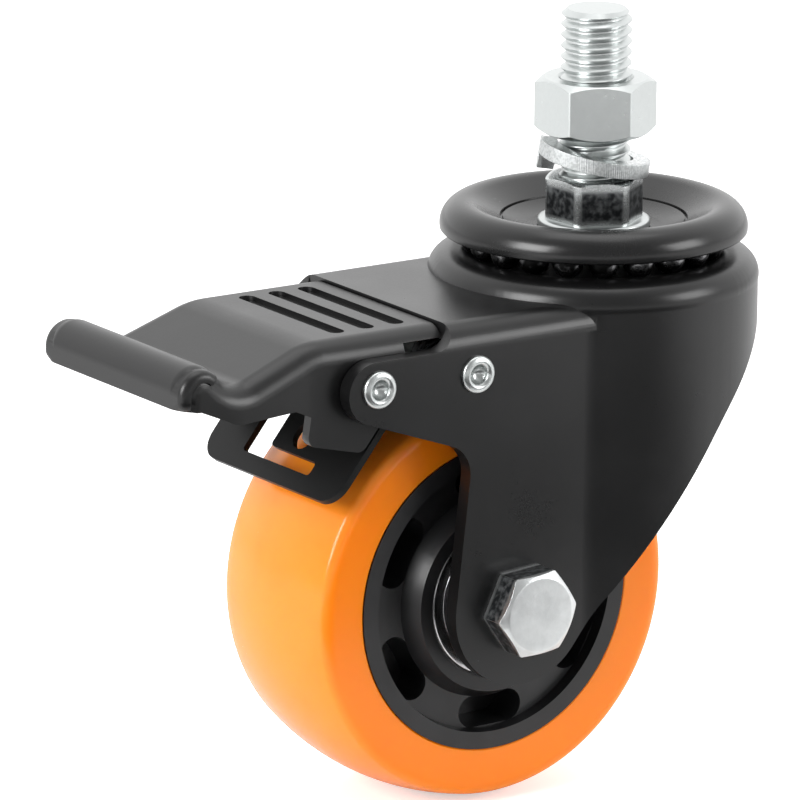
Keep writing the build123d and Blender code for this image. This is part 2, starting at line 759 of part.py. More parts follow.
with BuildPart() as bearing_shields:
    with BuildSketch(axle_side.offset(bearing_y - shield_inset)):
        Circle(outer_land)
        Circle(inner_land + run_gap, mode=Mode.SUBTRACT)
    extrude(amount=-shield_t)
    mirror(about=side_plane)
bearing_shields.part.label = "bearing_shields"
export_step(bearing_shields.part, "parts/bearing_shields.step")

# ---------------------------------------------------------------- hollow rivets
for rivet_name, rivet_at in (("pedal_rivet", pedal_pin), ("brake_rivet", brake_pin)):
    rivet_axis = Axis((rivet_at[0], 0, rivet_at[1]), (0, 1, 0))
    end_y = neck_half + pin_head_h
    with BuildPart() as rivet:
        with BuildSketch(Plane(origin=(rivet_at[0], 0, rivet_at[1]), z_dir=(0, 0, 1))):
            with BuildLine():
                Polyline(
                    (0, 0),
                    (pin_d / 2, 0),
                    (pin_d / 2, neck_half),
                    (pin_head_d / 2, neck_half),
                    (pin_head_d / 2, neck_half + pin_head_h / 2),
                )
                Line((pin_head_d / 2, neck_half + pin_head_h / 2), (pin_head_d / 2 - 0.6, end_y))
                Polyline(
                    (pin_head_d / 2 - 0.6, end_y),
                    (pin_hollow_d / 2, end_y - 0.2),
                    (pin_hollow_d / 2 - 0.3, end_y - pin_hollow_depth),
                    (0, end_y - pin_hollow_depth),
                    (0, 0),
                )
            make_face()
            mirror(about=Plane.XZ)
        revolve(axis=rivet_axis)
    rivet.part.label = rivet_name
    export_step(rivet.part, "parts/" + rivet_name + ".step")

# ---------------------------------------------------------------- brake pedal
def along_plate(s, n):
    """Return the side view point that lies s along the brake plate and n from the axle."""
    step = turned(s, shoe_slope, (axle_x, axle_z))
    return turned(n, shoe_slope + 90, step)


pedal_rear = pedal_gap + plate_end
pedal_front = pedal_rear + pedal_length
knee = (-pedal_rear - pedal_flat, pedal_z)
valley = turned(valley_run / cos(radians(pedal_fall)), 180 + pedal_fall, knee)
lip_corner = crossing(valley, 180 - lip_slope, (-pedal_front, 0), 90)
lip_drop = lip_r / sin(radians(lip_slope / 2)) * cos(radians(lip_slope / 2))
lip_centre = (-pedal_front + lip_r, lip_corner[1] - lip_drop)
front_low = (-pedal_front, lip_centre[1] - lip_wall)
wall_end = -pedal_rear - strip_len
strip_z = pedal_z - tread_sheet
cam_from = along_plate(cam_low, shoe_n + shoe_sheet + cam_gap)
cam_to = along_plate(cam_high, shoe_n + shoe_sheet + cam_gap)
flange_z = valley[1] - flange_drop
ear_toe = (pedal_pin[0] - ear_front, pedal_pin[1] - ear_drop + ear_front * 0.2)
ear_heel = crossing(cam_from, shoe_slope, ear_toe, -ear_slope)


def pedal_plan(edge_y, lip_y):
    """Draw the pedal's outline from above, from its own width out to the lip's width."""
    with BuildSketch(Plane.XY) as plan:
        with BuildLine():
            Polyline(
                (past - pedal_rear, -edge_y),
                (past - pedal_rear, edge_y),
                (knee[0], edge_y),
                (valley[0], lip_y),
                (-pedal_front - past, lip_y),
                (-pedal_front - past, -lip_y),
                (valley[0], -lip_y),
                (knee[0], -edge_y),
                close=True,
            )
        make_face()
        fillet(plan.vertices().filter_by_position(Axis.X, valley[0] - 0.1, knee[0] + 0.1), radius=flare_r)
    return plan.sketch


with BuildPart() as pedal_outside:
    with BuildSketch(side_plane) as pedal_side:
        with BuildLine():
            Polyline(
                (-pedal_rear, pedal_z),
                knee,
                valley,
                lip_corner,
                front_low,
                (-pedal_front + flange_front, front_low[1] - 0.4),
                (valley[0], flange_z),
                (ear_toe[0] - 2.5, flange_z + 0.5),
                (ear_toe[0] + 0.8, flange_z - 1.0),
                ear_toe,
                ear_heel,
                cam_to,
                (wall_end, strip_z - strip_wall),
                (wall_end, strip_z),
                (-pedal_rear, strip_z),
                close=True,
            )
        make_face()
        fillet(pedal_side.vertices().sort_by_distance(knee)[0], radius=pedal_knee_r)
        fillet(pedal_side.vertices().sort_by_distance(valley)[0], radius=valley_r)
        fillet(pedal_side.vertices().sort_by_distance(lip_corner)[0], radius=lip_r)
        fillet(pedal_side.vertices().sort_by_distance(ear_toe)[0], radius=ear_corner_r)
        fillet(pedal_side.vertices().sort_by_distance(ear_heel)[0], radius=ear_corner_r)
        fillet(pedal_side.vertices().sort_by_distance((valley[0], flange_z))[0], radius=valley_r)
    extrude(amount=lip_half, both=True)
    extrude(pedal_plan(ear_outer, lip_half), amount=ear_heel[1] - past, mode=Mode.INTERSECT)
    bends = [
        edge
        for edge in pedal_outside.edges().filter_by(lambda e: abs((e @ 0.5).Y) > ear_outer - 0.01)
        if (edge @ 0.5).Z > front_low[1] and (edge @ 0.5).X < wall_end - 1
    ]
    fillet(bends, radius=pedal_bend)

with BuildPart() as pedal_inside:
    with BuildSketch(side_plane) as pedal_room:
        with BuildLine():
            Polyline(
                (past - pedal_rear, pedal_z),
                knee,
                valley,
                lip_corner,
                (-pedal_front, ear_heel[1] - past),
                (past - pedal_rear, ear_heel[1] - past),
                close=True,
            )
        make_face()
        fillet(pedal_room.vertices().sort_by_distance(knee)[0], radius=pedal_knee_r)
        fillet(pedal_room.vertices().sort_by_distance(valley)[0], radius=valley_r)
        fillet(pedal_room.vertices().sort_by_distance(lip_corner)[0], radius=lip_r)
        offset(amount=-tread_sheet)
    extrude(amount=lip_half, both=True)
    extrude(
        pedal_plan(ear_inner, lip_half - tread_sheet), amount=ear_heel[1] - 2 * past, mode=Mode.INTERSECT
    )
    bends = [
        edge
        for edge in pedal_inside.edges().filter_by(lambda e: abs((e @ 0.5).Y) > ear_inner - 0.01)
        if (edge @ 0.5).Z > front_low[1] and (edge @ 0.5).X < past - pedal_rear - 1
    ]
    fillet(bends, radius=pedal_bend - tread_sheet)

lip_in = turned(lip_r - tread_sheet, lip_slope, lip_centre)
lip_top = turned(lip_r, lip_slope, lip_centre)
lip_inner = lip_r - tread_sheet
with BuildPart() as brake_pedal:
    add(pedal_outside.part)
    add(pedal_inside.part, mode=Mode.SUBTRACT)
    with BuildSketch(side_plane):
        with BuildLine():
            ThreePointArc(lip_top, turned(lip_r, 100, lip_centre), turned(lip_r, 180, lip_centre))
            Polyline(
                turned(lip_r, 180, lip_centre),
                front_low,
                (front_low[0] + tread_sheet, front_low[1]),
                turned(lip_inner, 180, lip_centre),
            )
            ThreePointArc(
                turned(lip_inner, 180, lip_centre), turned(lip_inner, 100, lip_centre), lip_in
            )
            Line(lip_in, lip_top)
        make_face()
    extrude(amount=lip_half, both=True)
    with BuildSketch(Plane.XY.offset(pedal_z)):
        with Locations(*[(-pedal_rear - groove_first - i * groove_pitch, 0) for i in range(3)]):
            SlotOverall(groove_len, groove_w, rotation=90)
    extrude(amount=-groove_depth, mode=Mode.SUBTRACT)
    with BuildSketch(side_plane):
        with Locations(pedal_pin):
            Circle(pin_d / 2 + fit_gap)
    extrude(amount=lip_half, both=True, mode=Mode.SUBTRACT)
brake_pedal.part.label = "brake_pedal"
export_step(brake_pedal.part, "parts/brake_pedal.step")

# ---------------------------------------------------------------- brake plate
plate_low = turned(shoe_n, shoe_slope + 90, (axle_x, axle_z))
plate_plane = Plane(
    origin=(plate_low[0], 0, plate_low[1]),
    x_dir=(cos(radians(shoe_slope)), 0, sin(radians(shoe_slope))),
    z_dir=(-sin(radians(shoe_slope)), 0, cos(radians(shoe_slope))),
)
eye_s = (brake_pin[0] - axle_x) * cos(radians(shoe_slope)) + (brake_pin[1] - axle_z) * sin(
    radians(shoe_slope)
)
eye_n = (brake_pin[1] - axle_z) * cos(radians(shoe_slope)) - (brake_pin[0] - axle_x) * sin(
    radians(shoe_slope)
)
with BuildPart() as brake_plate:
    with BuildSketch(side_plane) as flange:
        with BuildLine():
            Polyline(
                along_plate(shoe_flange_from, shoe_n),
                along_plate(shoe_flange_from, shoe_n + shoe_sheet),
                along_plate(shoe_top, shoe_n + shoe_sheet),
                along_plate(eye_s + shoe_eye_r, eye_n),
                along_plate(eye_s, eye_n - shoe_eye_r),
                close=True,
            )
        make_face()
        with Locations(brake_pin):
            Circle(shoe_eye_r)
    extrude(amount=ear_outer, both=True)
    bends = [
        edge
        for edge in brake_plate.edges().filter_by(lambda e: abs((e @ 0.5).Y) > ear_outer - 0.01)
        if plate_plane.to_local_coords(edge @ 0.5).Z > shoe_sheet - 0.01
    ]
    fillet(bends, radius=shoe_bend)
    with BuildSketch(side_plane):
        with BuildLine():
            Polyline(
                along_plate(-shoe_front, shoe_n),
                along_plate(shoe_flange_from, shoe_n),
                along_plate(shoe_flange_from, shoe_n + shoe_sheet),
                along_plate(-shoe_front, shoe_n + shoe_sheet),
                close=True,
            )
        make_face()
    extrude(amount=ear_outer, both=True)
    with BuildSketch(side_plane):
        with BuildLine():
            Polyline(
                along_plate(-shoe_front - past, shoe_n),
                along_plate(shoe_top, shoe_n),
                along_plate(shoe_top, shoe_n + past),
                along_plate(eye_s + shoe_eye_r + past, shoe_n + past),
                along_plate(eye_s + shoe_eye_r + past, eye_n - shoe_eye_r - past),
                along_plate(-shoe_front - past, eye_n - shoe_eye_r - past),
                close=True,
            )
        make_face()
    extrude(amount=ear_outer - shoe_sheet, both=True, mode=Mode.SUBTRACT)
    with BuildSketch(plate_plane) as blank:
        with Locations(((eye_s + shoe_eye_r - shoe_front) / 2, 0)):
            Rectangle(eye_s + shoe_eye_r + shoe_front, 2 * ear_outer)
        fillet(blank.vertices().group_by(plate_plane.location.x_axis)[0], radius=shoe_corner)
    extrude(amount=shoe_n, both=True, mode=Mode.INTERSECT)
    with BuildSketch(plate_plane) as slot:
        with BuildLine():
            Polyline(
                (slot_low, -slot_near),
                (slot_low, slot_far),
                (slot_leg_top, slot_far),
                (slot_leg_top, slot_far - slot_leg_w),
                (slot_high, slot_far - slot_leg_w),
                (slot_high, -slot_near),
                close=True,
            )
        make_face()
        fillet(slot.vertices(), radius=slot_round)
        with Locations((shoe_hole_s, shoe_hole_y)):
            Circle(shoe_hole_d / 2)
    extrude(amount=shoe_sheet, mode=Mode.SUBTRACT)
    with BuildSketch(side_plane):
        with Locations(brake_pin):
            Circle(pin_d / 2 + fit_gap)
    extrude(amount=ear_outer + past, both=True, mode=Mode.SUBTRACT)
brake_plate.part.label = "brake_plate"
export_step(brake_plate.part, "parts/brake_plate.step")

# ---------------------------------------------------------------- return spring
coil_r = pin_d / 2 + coil_gap + wire_d / 2
coil_rise = coil_pitch * (coil_turns + shoe_slope / 360)
coil_plane = Plane(
    origin=(brake_pin[0], -coil_from, brake_pin[1]), x_dir=plate_plane.z_dir, z_dir=(0, 1, 0)
)
lean = coil_pitch / (2 * pi * coil_r)                   # sideways drift of the wire along its length
arm_y = -coil_from + coil_rise
low_bend = along_plate(eye_s - low_arm * 0.55, eye_n + coil_r)
low_tip = along_plate(eye_s - low_arm, shoe_n - wire_d / 2 - race_gap)
top_bend = (brake_pin[0] + top_arm * 0.45, brake_pin[1] + coil_r)
top_tip = (brake_pin[0] + top_arm, plate_z - sheet - wire_d / 2)
coil_line = coil_plane * Helix(pitch=coil_pitch, height=coil_rise, radius=coil_r)
with BuildPart() as return_spring:
    with BuildSketch(Plane(origin=coil_line @ 0, z_dir=coil_line % 0)):
        Circle(wire_d / 2)
    sweep(path=coil_line, is_frenet=True)
    with BuildLine() as low_wire:
        FilletPolyline(
            coil_line @ 0,
            (low_bend[0], -coil_from - lean * low_arm * 0.55, low_bend[1]),
            (low_tip[0], -coil_from - lean * low_arm, low_tip[1]),
            radius=arm_bend_r,
        )
    with BuildSketch(Plane(origin=coil_line @ 0, z_dir=coil_line % 0)):
        Circle(wire_d / 2)
    sweep(path=low_wire.line)
    with BuildLine() as top_wire:
        FilletPolyline(
            coil_line @ 1,
            (top_bend[0], arm_y + lean * top_arm * 0.45, top_bend[1]),
            (top_tip[0], arm_y + lean * top_arm, top_tip[1]),
            radius=arm_bend_r,
        )
    with BuildSketch(Plane(origin=coil_line @ 1, z_dir=coil_line % 1)):
        Circle(wire_d / 2)
    sweep(path=top_wire.line)
return_spring.part.label = "return_spring"
export_step(return_spring.part, "parts/return_spring.step")
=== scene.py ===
"""Looks of a swivel castor with a threaded stem, a foot brake and a cast polyurethane wheel."""

import logging
import math
from dataclasses import dataclass
from enum import Enum
from typing import Callable, Optional, Sequence, Union

import bpy
from mathutils import Matrix, Vector


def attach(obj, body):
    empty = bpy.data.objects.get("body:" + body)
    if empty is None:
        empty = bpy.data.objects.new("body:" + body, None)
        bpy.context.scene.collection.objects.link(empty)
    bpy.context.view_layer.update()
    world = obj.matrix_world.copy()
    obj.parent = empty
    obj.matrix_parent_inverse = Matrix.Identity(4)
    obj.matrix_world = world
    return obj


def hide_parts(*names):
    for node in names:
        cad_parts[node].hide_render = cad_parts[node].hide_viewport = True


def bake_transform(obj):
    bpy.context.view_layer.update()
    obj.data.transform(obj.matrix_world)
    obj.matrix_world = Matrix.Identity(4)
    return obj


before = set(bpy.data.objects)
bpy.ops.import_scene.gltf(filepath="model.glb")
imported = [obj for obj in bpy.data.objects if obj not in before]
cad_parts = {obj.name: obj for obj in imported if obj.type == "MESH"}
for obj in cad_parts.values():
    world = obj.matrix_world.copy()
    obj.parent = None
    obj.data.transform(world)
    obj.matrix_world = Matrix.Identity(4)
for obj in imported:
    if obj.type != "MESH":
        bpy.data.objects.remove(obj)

LOG = logging.getLogger("castor")
MM = 0.001
MERGE = 2e-6  # metres within which two points are one
Number = Union[int, float]
Point = tuple[float, float]
Point3 = tuple[float, float, float]
Colour = tuple[float, float, float]
Operand = Union["Wire", int, float]
Piece = bpy.types.Object
Material = bpy.types.Material
AXLE: Point3 = (-31.4, 0.0, -69.45)
PEDAL_PIN: Point = (-62.1, -25.8)
BRAKE_PIN: Point = (-41.5, -25.8)
SHOULDER_ACROSS = 15.9
SHOULDER_TURN = 5.8


class Way(Enum):
    """The axis that a turned piece is made round."""

    UP = "up"
    ACROSS = "across"


# ------------------------------------------------------------------ shader maths
def _operator(operation: str, swapped: bool = False) -> Callable[..., "Wire"]:
    """Make a method that puts one Math node on a value and its operands.

    Args:
        operation: the Math node's operation.
        swapped: the value comes after the other operand.

    Returns:
        The method.
    """

    def method(self: "Wire", *others: Operand) -> "Wire":
        values = (*others, self) if swapped else (self, *others)
        return self.paint.node("ShaderNodeMath", {"operation": operation}, dict(enumerate(values)))

    return method


class Wire:
    """One output socket of a material, with the arithmetic of shader maths on it."""

    def __init__(self, paint: "Paint", socket: bpy.types.NodeSocket) -> None:
        """Hold a socket and the material that it belongs to."""
        self.paint = paint
        self.socket = socket

    __add__ = _operator("ADD")
    __radd__ = _operator("ADD", swapped=True)
    __sub__ = _operator("SUBTRACT")
    __rsub__ = _operator("SUBTRACT", swapped=True)
    __mul__ = _operator("MULTIPLY")
    __pow__ = _operator("POWER")
    sine = _operator("SINE")
    size = _operator("ABSOLUTE")
    atan2 = _operator("ARCTAN2")
    larger = _operator("MAXIMUM")

    def smooth(self, low: Number, high: Number) -> "Wire":
        """Map this value to 0 at low and 1 at high with a soft step."""
        return self.paint.node(
            "ShaderNodeMapRange",
            {"interpolation_type": "SMOOTHSTEP", "clamp": True},
            {"Value": self, "From Min": low, "From Max": high},
        )


class Paint:
    """A material under construction: its node tree, its surface shader and the one node method."""

    def __init__(self, name: str) -> None:
        """Make an empty material with a Principled BSDF."""
        self.material = bpy.data.materials.new(name)
        self.material.use_nodes = True
        self.tree = self.material.node_tree
        self.tree.nodes.clear()
        self.out = self.tree.nodes.new("ShaderNodeOutputMaterial")
        self.surface = self.tree.nodes.new("ShaderNodeBsdfPrincipled")
        self.tree.links.new(self.surface.outputs["BSDF"], self.out.inputs["Surface"])
        self._object: Optional[Wire] = None

    def node(
        self,
        kind: str,
        settings: Optional[dict] = None,
        inputs: Optional[dict] = None,
        output: Union[int, str] = 0,
    ) -> Wire:
        """Add a node.

        Args:
            kind: the node's type.
            settings: its properties; the key "stops" holds a ramp's (place, colour) stops.
            inputs: values or wires of its sockets, by name or number.
            output: the output that is wanted.

        Returns:
            That output.
        """
        made = self.tree.nodes.new(kind)
        for key, value in (settings or {}).items():
            if key == "stops":
                self._stops(made.color_ramp, value)
            else:
                setattr(made, key, value)
        for key, value in (inputs or {}).items():
            self.feed(made.inputs[key], value)
        return Wire(self, made.outputs[output])

    @staticmethod
    def _stops(ramp: bpy.types.ColorRamp, stops: Sequence[tuple[float, tuple]]) -> None:
        """Set a ramp's stops."""
        while len(ramp.elements) > 1:
            ramp.elements.remove(ramp.elements[-1])
        for index, (place, colour) in enumerate(stops):
            element = ramp.elements[0] if index == 0 else ramp.elements.new(place)
            element.position = place
            element.color = (*colour[:3], 1.0)

    def feed(self, socket: bpy.types.NodeSocket, value: object) -> None:
        """Give a socket a value or a link."""
        if isinstance(value, Wire):
            self.tree.links.new(value.socket, socket)
        elif isinstance(value, (tuple, list)) and len(value) == 3 and socket.type == "RGBA":
            socket.default_value = (*value, 1.0)
        else:
            socket.default_value = value

    def set(self, **sockets: object) -> "Paint":
        """Set sockets of the surface shader, written with underscores for spaces, and chain."""
        for key, value in sockets.items():
            self.feed(self.surface.inputs[key.replace("_", " ")], value)
        return self

    @property
    def place(self) -> Wire:
        """The point on the piece, in metres."""
        if self._object is None:
            self._object = self.node("ShaderNodeTexCoord", output="Object")
        return self._object

    def axes(self, centre: Point3 = (0.0, 0.0, 0.0)) -> tuple[Wire, Wire, Wire]:
        """X, Y and Z of the point on the piece in metres, from a centre in millimetres."""
        split = self.node("ShaderNodeSeparateXYZ", {}, {0: self.place})
        wires = [Wire(self, output) for output in split.socket.node.outputs]
        return tuple(wire - middle * MM for wire, middle in zip(wires, centre))

    def noise(self, scale: Number, detail: Number = 3, where: Optional[Wire] = None) -> Wire:
        """Soft noise from 0 to 1, with scale in cells per metre and detail in octaves."""
        return self.node(
            "ShaderNodeTexNoise",
            {},
            {"Vector": where or self.place, "Scale": float(scale), "Detail": float(detail)},
        )

    def mix(self, factor: object, first: object, second: object) -> Wire:
        """Mix two colours: a factor of 0 gives the first, and 1 the second."""
        return self.node(
            "ShaderNodeMix",
            {"data_type": "RGBA"},
            {0: factor, 6: first, 7: second},
            output=2,
        )

    def bump(self, height: Wire, strength: float, depth: float) -> "Paint":
        """Raise the surface by a height pattern of this strength and full depth in metres."""
        normal = self.node(
            "ShaderNodeBump", {}, {"Height": height, "Strength": strength, "Distance": depth}
        )
        return self.set(Normal=normal)


# ------------------------------------------------------------------ finishes
@dataclass(frozen=True)
class Zinc:
    """Bright zinc plating with a cloudy, slightly worn skin."""

    bright: Colour = (0.62, 0.645, 0.64)
    dull: Colour = (0.52, 0.545, 0.54)
    rough: float = 0.27

    def paint(self) -> Material:
        """Build the plating."""
        paint = Paint("zinc_plate")
        cloud = paint.noise(180.0, 3)
        fine = paint.noise(1300.0, 3)
        paint.set(
            Base_Color=paint.mix(cloud * 0.35 + fine * 0.35, self.bright, self.dull),
            Roughness=self.rough + (fine - 0.5) * 0.10 + cloud * 0.06,
            Metallic=1.0,
        )
        return paint.bump(fine, 0.20, 0.00002).material


@dataclass(frozen=True)
class Forging:
    """Plating on a forged hexagon: dark scale stays on its flats and the corners are bright."""

    across_flats: float = SHOULDER_ACROSS
    turn: float = SHOULDER_TURN
    low: float = -7.4
    high: float = -1.3
    way: Way = Way.UP
    centre: Point3 = (0.0, 0.0, 0.0)
    bright: Colour = (0.66, 0.68, 0.68)
    rough: float = 0.24
    fade: float = 0.8

    def paint(self, name: str) -> Material:
        """Build the finish under this name."""
        paint = Paint(name)
        x, y, z = paint.axes(self.centre)
        if self.way is Way.ACROSS:
            y, z = z * -1.0, y * -1.0
        reach: Optional[Wire] = None
        for flat in range(3):
            angle = math.radians(self.turn + 60.0 * flat)
            along = (x * math.cos(angle) + y * math.sin(angle)).size()
            reach = along if reach is None else reach.larger(along)
        half = self.across_flats / 2 * MM
        flats = reach.smooth(half - 0.00012, half - 0.00002)
        band = z.smooth(self.low * MM, (self.low + self.fade) * MM) * (
            1.0 - z.smooth((self.high - self.fade) * MM, self.high * MM)
        )
        speck = paint.noise(900.0, 5).smooth(0.36, 0.74)
        cloud = paint.noise(380.0, 3)
        dark = flats * band
        scale = paint.mix(speck, (0.040, 0.043, 0.046), (0.24, 0.25, 0.255))
        skin = paint.mix(cloud, self.bright, (0.54, 0.56, 0.56))
        paint.set(
            Base_Color=paint.mix(dark, skin, scale),
            Roughness=self.rough + dark * 0.12 + speck * 0.05,
            Metallic=1.0,
        )
        return paint.bump(paint.noise(1500.0, 5), 0.35, 0.00004).material


@dataclass(frozen=True)
class Washer:
    """Spring steel with the rolled pattern of its outer edge."""

    edge: float = 9.4
    teeth: float = 150.0

    def paint(self) -> Material:
        """Build the finish."""
        paint = Paint("washer_zinc")
        x, y, _ = paint.axes()
        outer = (x * x + y * y).smooth((self.edge * MM) ** 2, ((self.edge + 0.4) * MM) ** 2)
        line = (y.atan2(x) * self.teeth).sine() * 0.5 + 0.5
        fine = paint.noise(2200.0, 4)
        paint.set(
            Base_Color=paint.mix(fine.smooth(0.40, 0.65), (0.66, 0.68, 0.68), (0.48, 0.50, 0.50)),
            Roughness=0.24 + outer * 0.10 + (fine - 0.5) * 0.12,
            Metallic=1.0,
        )
        return paint.bump(line * outer * 0.7 + fine * 0.3, 0.55, 0.00010).material


@dataclass(frozen=True)
class BlackPaint:
    """Baked black paint: semi-gloss, with a soft orange peel and a little dust."""

    base: Colour = (0.0050, 0.0050, 0.0052)
    dust: Colour = (0.0120, 0.0120, 0.0125)
    rough: float = 0.30
    peel: float = 700.0
    shine: float = 0.5

    def paint(self, name: str) -> Material:
        """Build the paint under this name."""
        paint = Paint(name)
        cloud = paint.noise(70.0, 4)
        grains = paint.noise(1900.0, 2)
        peel = paint.noise(self.peel, 2)
        settled = grains.smooth(0.62, 0.80) * 0.35 + cloud.smooth(0.45, 0.75) * 0.35
        paint.set(
            Base_Color=paint.mix(settled, self.base, self.dust),
            Roughness=self.rough + (cloud - 0.5) * 0.10 + (grains - 0.5) * 0.06,
            Specular_IOR_Level=self.shine,
        )
        return paint.bump(peel * 0.9 + grains * 0.1, 0.22, 0.00003).material


@dataclass(frozen=True)
class Polyurethane:
    """The cast orange tread, whose running face is painted a lighter, yellower orange as painted
    light.
    """

    side: Colour = (1.00, 0.235, 0.006)
    # tread: the side's orange made lighter and yellower, painted light on the running face
    tread: Colour = (1.00, 0.285, 0.022)
    deep: Colour = (0.98, 0.215, 0.004)
    tread_radius: float = 36.0
    drawn: Point3 = (1.0, 0.15, 1.0)
    centre: Point3 = AXLE

    def paint(self) -> Material:
        """Build the material."""
        paint = Paint("orange_polyurethane")
        x, _, z = paint.axes(self.centre)
        # painted light: this mask marks the running face that takes the lighter tread colour
        low, high = (self.tread_radius - 1.5) * MM, self.tread_radius * MM
        lit_tread_mask = (x * x + z * z).smooth(low * low, high * high)
        cloud = paint.noise(60.0, 3)
        fine = paint.noise(1800.0, 2)
        drawn = paint.node("ShaderNodeMapping", {}, {"Vector": paint.place, "Scale": self.drawn})
        scuff = paint.noise(900.0, 5, drawn)
        cast = paint.mix(lit_tread_mask, self.side, self.tread)
        paint.set(
            Base_Color=paint.mix(cloud.smooth(0.45, 0.85) * 0.6, cast, self.deep),
            Roughness=0.20 + (fine - 0.5) * 0.06 + scuff.smooth(0.62, 0.80) * 0.10,
            Specular_IOR_Level=0.4,
            Subsurface_Weight=0.25,
            Subsurface_Radius=(1.0, 0.22, 0.04),
            Subsurface_Scale=0.004,
        )
        return paint.bump(fine * 0.4 + scuff * 0.6, 0.12, 0.00002).material


@dataclass(frozen=True)
class CorePlastic:
    """Moulded black core with a fine spark-eroded grain and turned marks on its web."""

    base: Colour = (0.006, 0.006, 0.0065)
    dust: Colour = (0.013, 0.013, 0.014)
    centre: Point3 = AXLE

    def paint(self) -> Material:
        """Build the material."""
        paint = Paint("core_plastic")
        x, _, z = paint.axes(self.centre)
        ring = ((x * x + z * z) ** 0.5 * 9000.0).sine() * 0.5 + 0.5
        grain = paint.noise(4200.0, 3)
        cloud = paint.noise(90.0, 3)
        paint.set(
            Base_Color=paint.mix(cloud.smooth(0.35, 0.7), self.base, self.dust),
            Roughness=0.34 + (grain - 0.5) * 0.12 + ring * 0.03,
        )
        return paint.bump(grain * 0.8 + ring * 0.2, 0.25, 0.00003).material


@dataclass(frozen=True)
class GroundSteel:
    """Ground bearing steel with rings round the axle."""

    name: str = "ring_steel"
    base: Colour = (0.66, 0.66, 0.67)
    dull: Colour = (0.50, 0.50, 0.51)
    rough: float = 0.20
    centre: Point3 = AXLE

    def paint(self) -> Material:
        """Build the material."""
        paint = Paint(self.name)
        x, _, z = paint.axes(self.centre)
        ring = ((x * x + z * z) ** 0.5 * 26000.0).sine() * 0.5 + 0.5
        cloud = paint.noise(500.0, 4)
        paint.set(
            Base_Color=paint.mix(cloud.smooth(0.4, 0.65), self.base, self.dull),
            Roughness=self.rough + ring * 0.05 + (cloud - 0.5) * 0.10,
            Metallic=1.0,
        )
        return paint.bump(ring * 0.5 + cloud * 0.5, 0.15, 0.00001).material


@dataclass(frozen=True)
class ShadedGreasedBall:
    """Polished balls whose steel tone is darkened as painted shade, with smears of dark grease."""

    # steel: a darkened steel tone, painted shade for the shadow that the balls sit in
    steel: Colour = (0.20, 0.20, 0.205)
    grease: Colour = (0.010, 0.010, 0.010)

    def paint(self) -> Material:
        """Build the material."""
        paint = Paint("ball_steel")
        smear = paint.noise(420.0, 5).smooth(0.38, 0.56)
        paint.set(
            Base_Color=paint.mix(smear, self.steel, self.grease),
            Roughness=0.20 + smear * 0.25,
            Metallic=1.0,
        )
        return paint.bump(smear, 0.10, 0.00002).material


